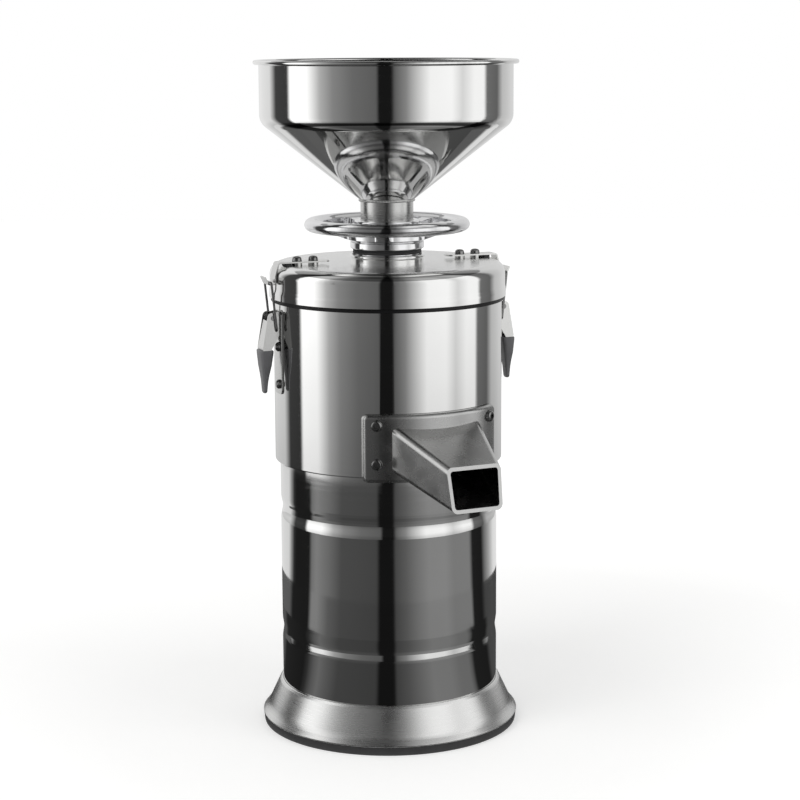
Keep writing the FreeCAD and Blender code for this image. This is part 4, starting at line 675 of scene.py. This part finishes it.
upper = add_node(coil_tree, "GeometryNodeTransform", links={"Geometry": crown, "Translation": lift})
lower = add_node(coil_tree, "GeometryNodeTransform", {"Rotation": (math.pi, 0, 0)},
                 {"Geometry": crown, "Translation": drop})
both = add_node(coil_tree, "GeometryNodeJoinGeometry")
for half in (upper, lower):
    coil_tree.links.new(half.outputs[0], both.inputs[0])
finish_tree(coil_tree, end, both.outputs[0], enamelled_copper)

CROWN = 0.022            # height of a crown
CROWN_R = 0.058
BUNDLE = 0.0042
BUNDLE_CLEAR = 0.001     # what stays free above a bundle
crown_low, crown_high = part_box("stator_windings")
windings = baked("coil_bundles", coil_tree, {
    "Coils": 24, "Radius": CROWN_R, "Spread": 0.013, "Span": 1.5,
    "Rise": CROWN - BUNDLE - BUNDLE_CLEAR, "Thickness": BUNDLE,
    "Upper": crown_high.z - CROWN, "Lower": crown_low.z + CROWN})
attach(windings, "stand")
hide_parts("stator_windings")

# %% [markdown]
# ## The weld under the hopper and the ribs on the cord gland
# The hopper's cone is welded to its neck by hand, which leaves a ring of overlapping drops like a
# row of coins. The nut of the cord gland has rounded ribs, so that fingers can turn it. Both are
# the same thing to a tree: a stretched bead that repeats round a circle. The ribs are made round
# the upright axis and are then turned to the gland's own axis, which points out of the back.

# %% Bead the weld and rib the nut
def bead_ring(name, material, beads, radius_mm, bead_mm, stretch):
    """Beads round the upright axis, each stretched away from it, round it and along it."""
    tree, size, end = new_tree(name + "_tree", {"Beads": 12, "Radius": 0.01, "Bead": 0.001})
    number = add_node(tree, "GeometryNodeInputIndex").outputs[0]
    angle = sum_of(tree, "MULTIPLY", number, sum_of(tree, "DIVIDE", 2 * math.pi, size["Beads"]))
    place = add_node(tree, "ShaderNodeCombineXYZ", links={
        0: sum_of(tree, "MULTIPLY", size["Radius"], sum_of(tree, "COSINE", angle)),
        1: sum_of(tree, "MULTIPLY", size["Radius"], sum_of(tree, "SINE", angle))}).outputs[0]
    turn = add_node(tree, "ShaderNodeCombineXYZ", links={2: angle}).outputs[0]
    spots = add_node(tree, "GeometryNodePoints",
                     links={"Count": size["Beads"], "Position": place}).outputs[0]
    bead = add_node(tree, "GeometryNodeMeshIcoSphere", {"Subdivisions": 2},
                    {"Radius": size["Bead"]}).outputs[0]
    beads_round = add_node(tree, "GeometryNodeInstanceOnPoints", {"Scale": stretch},
                           {"Points": spots, "Instance": bead, "Rotation": turn}).outputs[0]
    finish_tree(tree, end, beads_round, material)
    return baked(name, tree, {"Beads": beads, "Radius": radius_mm / 1000, "Bead": bead_mm / 1000})


NECK_R_MM = 27.6
WELD_BELOW_TOP = 0.0012
neck_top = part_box("hopper_neck")[1].z
weld = bead_ring("neck_weld", turned_steel, beads=110, radius_mm=NECK_R_MM + 0.9, bead_mm=1.25,
                 stretch=(0.9, 1.0, 0.9))
weld.data.transform(Matrix.Translation((0, 0, neck_top - WELD_BELOW_TOP)))
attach(weld, "hopper")

GLAND_DOME_MM = 10.6
DOME_BELOW_END = 0.0103
gland_low, gland_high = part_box("cord_gland")
ribs = bead_ring("gland_ribs", gland_nylon, beads=22, radius_mm=GLAND_DOME_MM, bead_mm=0.55,
                 stretch=(1.0, 1.0, 5.5))
dome = Vector((0, gland_high.y - DOME_BELOW_END, (gland_low.z + gland_high.z) / 2))
ribs.data.transform(Matrix.Translation(dome) @ Matrix.Rotation(math.pi / 2, 4, "X"))
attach(ribs, "stand")

# %% [markdown]
# ## The floor and the white background
# The background is pure white because the world is white to the camera, and to mirror rays, while
# the light that it casts on the machine is weaker. The floor is a pale board that takes the
# machine's shadow. To the camera it glows a little, and more with the distance, so that it melts
# into the white background while the shadow at the foot stays. More light would do the first too,
# but it would bleach the machine.

# %% Make the world and the floor
WORLD_LIGHT = 0.55
FLOOR_GLOW = (0.36, 0.62)
GLOW_REACH = (0.3, 1.3)


def seen_directly(tree):
    """1 for the camera's own rays and for mirror and glass rays, 0 for light on dull surfaces."""
    ray = add_node(tree, "ShaderNodeLightPath").outputs
    clear = add_node(tree, "ShaderNodeMath", operation="MAXIMUM",
                     links={0: ray["Is Camera Ray"], 1: ray["Is Transmission Ray"]})
    return add_node(tree, "ShaderNodeMath", operation="MAXIMUM",
                    links={0: clear.outputs[0], 1: ray["Is Glossy Ray"]}).outputs[0]


def distance_out(tree, place):
    """How far the place is from the upright axis."""
    flat = add_node(tree, "ShaderNodeVectorMath", {1: (1, 1, 0)}, {0: place},
                    operation="MULTIPLY")
    return add_node(tree, "ShaderNodeVectorMath", operation="LENGTH",
                    links={0: flat.outputs[0]}).outputs["Value"]


world = bpy.data.worlds.new("studio")
world.use_nodes = True
bpy.context.scene.world = world
tree = world.node_tree
tree.nodes.clear()
strength = add_node(tree, "ShaderNodeMapRange", {"To Min": WORLD_LIGHT, "To Max": 1.0},
                    {"Value": seen_directly(tree)})
sky = add_node(tree, "ShaderNodeBackground", {"Color": (1, 1, 1, 1)},
               {"Strength": strength.outputs["Result"]})
add_node(tree, "ShaderNodeOutputWorld", links={"Surface": sky.outputs[0]})


def staged(name, points, faces, finish):
    """A prop of the studio, which is not part of the machine."""
    mesh = bpy.data.meshes.new(name)
    mesh.from_pydata(points, [], faces)
    mesh.materials.append(finish)
    prop = bpy.data.objects.new(name, mesh)
    bpy.context.collection.objects.link(prop)
    return prop


floor_paint, tree, shader, place = new_finish("pale_floor_board")
shader.inputs["Roughness"].default_value = 0.9
shader.inputs["Specular IOR Level"].default_value = 0.1
tree.links.new(shade(tree, speckle(tree, place, 400.0), "E6E6E5", "E9E9E8"),
               shader.inputs["Base Color"])
by_distance = level(tree, distance_out(tree, place), *FLOOR_GLOW, *GLOW_REACH)
glow = add_node(tree, "ShaderNodeMath", operation="MULTIPLY",
                links={0: seen_directly(tree), 1: by_distance})
shader.inputs["Emission Color"].default_value = (1, 1, 1, 1)
tree.links.new(glow.outputs[0], shader.inputs["Emission Strength"])
FLOOR = 6.0
staged("floor", [(-FLOOR, -FLOOR, 0), (FLOOR, -FLOOR, 0), (FLOOR, FLOOR, 0), (-FLOOR, FLOOR, 0)],
       [(0, 1, 2, 3)], floor_paint)
print("floor is", 2 * FLOOR, "m wide")

# %% [markdown]
# ## A light tent for polished steel
# Polished steel is photographed inside a tent of white cloth with a few black cloths on it. The
# white gives the bright bands, the black gives the dark edges that show the shape, and the slot
# for the lens is the dark band down the middle. The tent is a round wall on a table that does not
# reflect: it glows with a painted reflection of the wall, darker and duller.
# Going round from the back on the viewer's left, `WALL` says how bright the cloth is at each
# bearing, where bearing 0 is the lens. The three `TABLE` lists say the same for the painted sheen
# on the table, from the machine outwards.
# Only mirror rays see the tent: it lights nothing and the camera looks through it.
# Separate cards would do the same, but their edges and gaps are hard to place round a cylinder.

# %% Cloth that is brighter on some sides
WALL = [
    (-180, 0.72), (-152, 0.90), (-124, 0.84), (-113, 0.06), (-95.0, 0.05), (-91.0, 1.40),
    (-72, 1.32), (-58, 0.52), (-46, 0.28), (-28, 0.17), (-8.0, 0.13), (-6.0, 0.01),
    (5.0, 0.01), (7.5, 0.13), (17, 0.28), (29, 0.74), (38, 1.10), (58, 1.15), (69, 0.82),
    (82, 1.12), (94, 1.12), (98, 0.18), (114, 0.14), (124, 0.60), (146, 0.74), (180, 0.72),
]
# painted sheen: the table glows with these bands in place of a reflection of the wall
TABLE_NEAR = [
    (-180, 0.34), (-160, 0.36), (-138, 0.36), (-128, 0.08), (-90, 0.05), (-84, 0.12), (-76, 0.42),
    (-69, 0.60), (-62, 0.46), (-48, 0.24), (-12, 0.20), (-9.0, 0.03), (4.0, 0.03), (7.0, 0.22),
    (17, 0.34), (29, 0.58), (40, 0.80), (58, 0.78), (68, 0.64), (80, 0.62), (84, 0.42),
    (88, 0.06), (112, 0.05), (120, 0.26), (134, 0.28), (146, 0.24), (180, 0.22),
]
TABLE = [
    (-180, 0.34), (-160, 0.40), (-138, 0.46), (-124, 0.44), (-116, 0.06), (-88.0, 0.05),
    (-83.5, 0.95), (-76, 0.95), (-62, 0.45), (-48, 0.28), (-12, 0.23), (-9.0, 0.03),
    (4.0, 0.03), (7.0, 0.26), (17, 0.42), (29, 0.72), (40, 0.95), (58, 0.98), (68, 0.82),
    (82, 0.84), (90, 0.84), (94, 0.06), (108, 0.05), (116, 0.24), (134, 0.28), (146, 0.24),
    (180, 0.22),
]
TABLE_RIM = [
    (-180, 3.0), (-127, 2.8), (-121, 1.2), (-115, 0.12), (-110, 0.05), (-88, 0.05), (-84, 0.72),
    (-78, 0.92), (-62, 0.62), (-48, 0.30), (-12, 0.25), (-9.0, 0.03), (4.0, 0.03), (7.0, 0.28),
    (17, 0.45), (29, 0.76), (40, 1.00), (58, 1.02), (68, 0.86), (89, 0.88), (94, 0.06),
    (110, 0.05), (116, 0.65), (126, 1.50), (140, 3.0), (180, 3.0),
]
BRIGHTEST = 3.0


def bearing_glow(name, bands):
    """A glowing cloth with its shader, the parts of the place on it and the glow's strength."""
    cloth = bpy.data.materials.new(name)
    cloth.use_nodes = True
    tree = cloth.node_tree
    tree.nodes.clear()
    place = add_node(tree, "ShaderNodeTexCoord").outputs["Object"]
    part = add_node(tree, "ShaderNodeSeparateXYZ", links={0: place})
    ahead = add_node(tree, "ShaderNodeMath", {1: -1.0}, {0: part.outputs["Y"]},
                     operation="MULTIPLY")
    bearing = add_node(tree, "ShaderNodeMath", operation="ARCTAN2",
                       links={0: part.outputs["X"], 1: ahead.outputs[0]})
    along = add_node(tree, "ShaderNodeMapRange", {"From Min": -math.pi, "From Max": math.pi},
                     {"Value": bearing.outputs[0]})
    ramp = add_node(tree, "ShaderNodeValToRGB", links={0: along.outputs["Result"]})
    stops = ramp.color_ramp.elements
    stops.remove(stops[0])
    for i, (degrees, bright) in enumerate(bands):
        stop = stops[0] if i == 0 else stops.new(degrees / 360 + 0.5)
        stop.position = degrees / 360 + 0.5
        stop.color = (*[bright / BRIGHTEST] * 3, 1)
    light = add_node(tree, "ShaderNodeEmission", {"Strength": BRIGHTEST},
                     {"Color": ramp.outputs["Color"]})
    add_node(tree, "ShaderNodeOutputMaterial", links={"Surface": light.outputs[0]})
    return cloth, tree, light, place


def mirrors_only(prop):
    """Only mirror rays meet this prop."""
    prop.visible_camera = False
    prop.visible_diffuse = False
    prop.visible_transmission = False
    prop.visible_volume_scatter = False
    prop.visible_shadow = False


print("wall bands:", len(WALL))
print("table bands:", [len(bands) for bands in (TABLE_NEAR, TABLE, TABLE_RIM)])

# %% [markdown]
# The wall is a little darker near the floor. The table glows with a painted reflection of the wall,
# darker and duller. Its back half is dull close to the machine and bright at the far rim, and the
# rim's glow is painted weaker for rays that come down on it steeply: the upright barrels show it
# bright, and the slanted underside of the hopper, which looks down on it, shows it dark. The
# ceiling goes on with the wall's bands but is dim in the middle, where a real tent has its seam.

# %% Put up the wall, the table and the ceiling
TENT_RADIUS = 1.4
TENT_HEIGHT = 1.5
WALL_FOOT = 0.70              # brightness at the floor, as a share of the rest
WALL_EVEN = 0.32              # height from which the wall is evenly bright
CEILING_MIDDLE = 0.15
CEILING_SHARE = 0.42
CEILING_RAMP = (0.35, 0.75)   # distances out between which it goes from one to the other
RING_STEPS = 96


def ring(inner, outer, low, high):
    """The points and faces of a round band from one radius and height to another."""
    turns = [2 * math.pi * i / RING_STEPS for i in range(RING_STEPS)]
    points = [(r * math.sin(a), -r * math.cos(a), z)
              for r, z in ((inner, low), (outer, high)) for a in turns]
    nexts = [(i + 1) % RING_STEPS for i in range(RING_STEPS)]
    return points, [(i, n, RING_STEPS + n, RING_STEPS + i) for i, n in enumerate(nexts)]


wall_cloth, tree, light, place = bearing_glow("tent_wall_cloth", WALL)
height = add_node(tree, "ShaderNodeSeparateXYZ", links={0: place}).outputs["Z"]
tree.links.new(level(tree, height, WALL_FOOT * BRIGHTEST, BRIGHTEST, 0.0, WALL_EVEN),
               light.inputs["Strength"])
mirrors_only(staged("tent_wall", *ring(TENT_RADIUS, TENT_RADIUS, 0.0, TENT_HEIGHT), wall_cloth))

ceiling_cloth, tree, light, place = bearing_glow("tent_ceiling_cloth", WALL)
tree.links.new(level(tree, distance_out(tree, place), CEILING_MIDDLE * BRIGHTEST,
                     CEILING_SHARE * BRIGHTEST, *CEILING_RAMP), light.inputs["Strength"])
mirrors_only(staged("tent_ceiling", *ring(0.0, TENT_RADIUS, TENT_HEIGHT, TENT_HEIGHT),
                    ceiling_cloth))

TABLE_SHARE = 0.26
TABLE_HEIGHT = 0.001
TABLE_EDGES = (0.139, 0.49, 0.67, TENT_RADIUS)
RIM_SHARE = 1.05 * TABLE_SHARE
STEEP = (0.50, 0.545)         # sine of the glance at which the rim turns dark
STEEP_SHARE = 0.14


def lay(name, number, cloth):
    """One ring of the table, counted from the machine outwards."""
    edges = TABLE_EDGES[number:number + 2]
    mirrors_only(staged(name, *ring(*edges, TABLE_HEIGHT, TABLE_HEIGHT), cloth))


# Each ring of the table glows with a painted reflection of the wall's bands.
for number, (name, bands) in enumerate((("tent_table_near", TABLE_NEAR), ("tent_table", TABLE))):
    table_top, _, light, _ = bearing_glow(name + "_top", bands)
    light.inputs["Strength"].default_value = TABLE_SHARE * BRIGHTEST
    lay(name, number, table_top)

# Painted dimming: the rim's glow is weaker for rays that come down on it steeply.
table_rim, tree, light, _ = bearing_glow("tent_table_rim", TABLE_RIM)
incoming = add_node(tree, "ShaderNodeNewGeometry").outputs["Incoming"]
steep = add_node(tree, "ShaderNodeSeparateXYZ", links={0: incoming}).outputs["Z"]
full = RIM_SHARE * BRIGHTEST
tree.links.new(level(tree, steep, full, STEEP_SHARE * full, *STEEP), light.inputs["Strength"])
lay("tent_table_rim", 2, table_rim)
print("tent radius", TENT_RADIUS, "m, height", TENT_HEIGHT, "m")

# %% [markdown]
# ## Lamps
# Rubber, plastic and castings need real light from somewhere. A large soft lamp from the upper left
# and a weaker one from the right model them and lay a soft shadow on the floor. Mirror rays do not
# see the lamps, because the tent already says what the steel shows.

# %% Hang the lamps
MIDDLE = Vector((0, 0, 0.3))


def soft_lamp(name, place, width, watts):
    """A square area lamp that points at the machine's middle."""
    data = bpy.data.lights.new(name, "AREA")
    data.shape = "SQUARE"
    data.size = width
    data.energy = watts
    lamp = bpy.data.objects.new(name, data)
    bpy.context.collection.objects.link(lamp)
    lamp.location = place
    aim = MIDDLE - Vector(place)
    lamp.rotation_mode = "QUATERNION"
    lamp.rotation_quaternion = aim.to_track_quat("-Z", "Y")
    lamp.visible_glossy = False
    return lamp


soft_lamp("key_lamp", (-1.1, -1.3, 1.9), 1.2, 16.0)
soft_lamp("fill_lamp", (1.6, -0.9, 1.2), 1.0, 7.0)
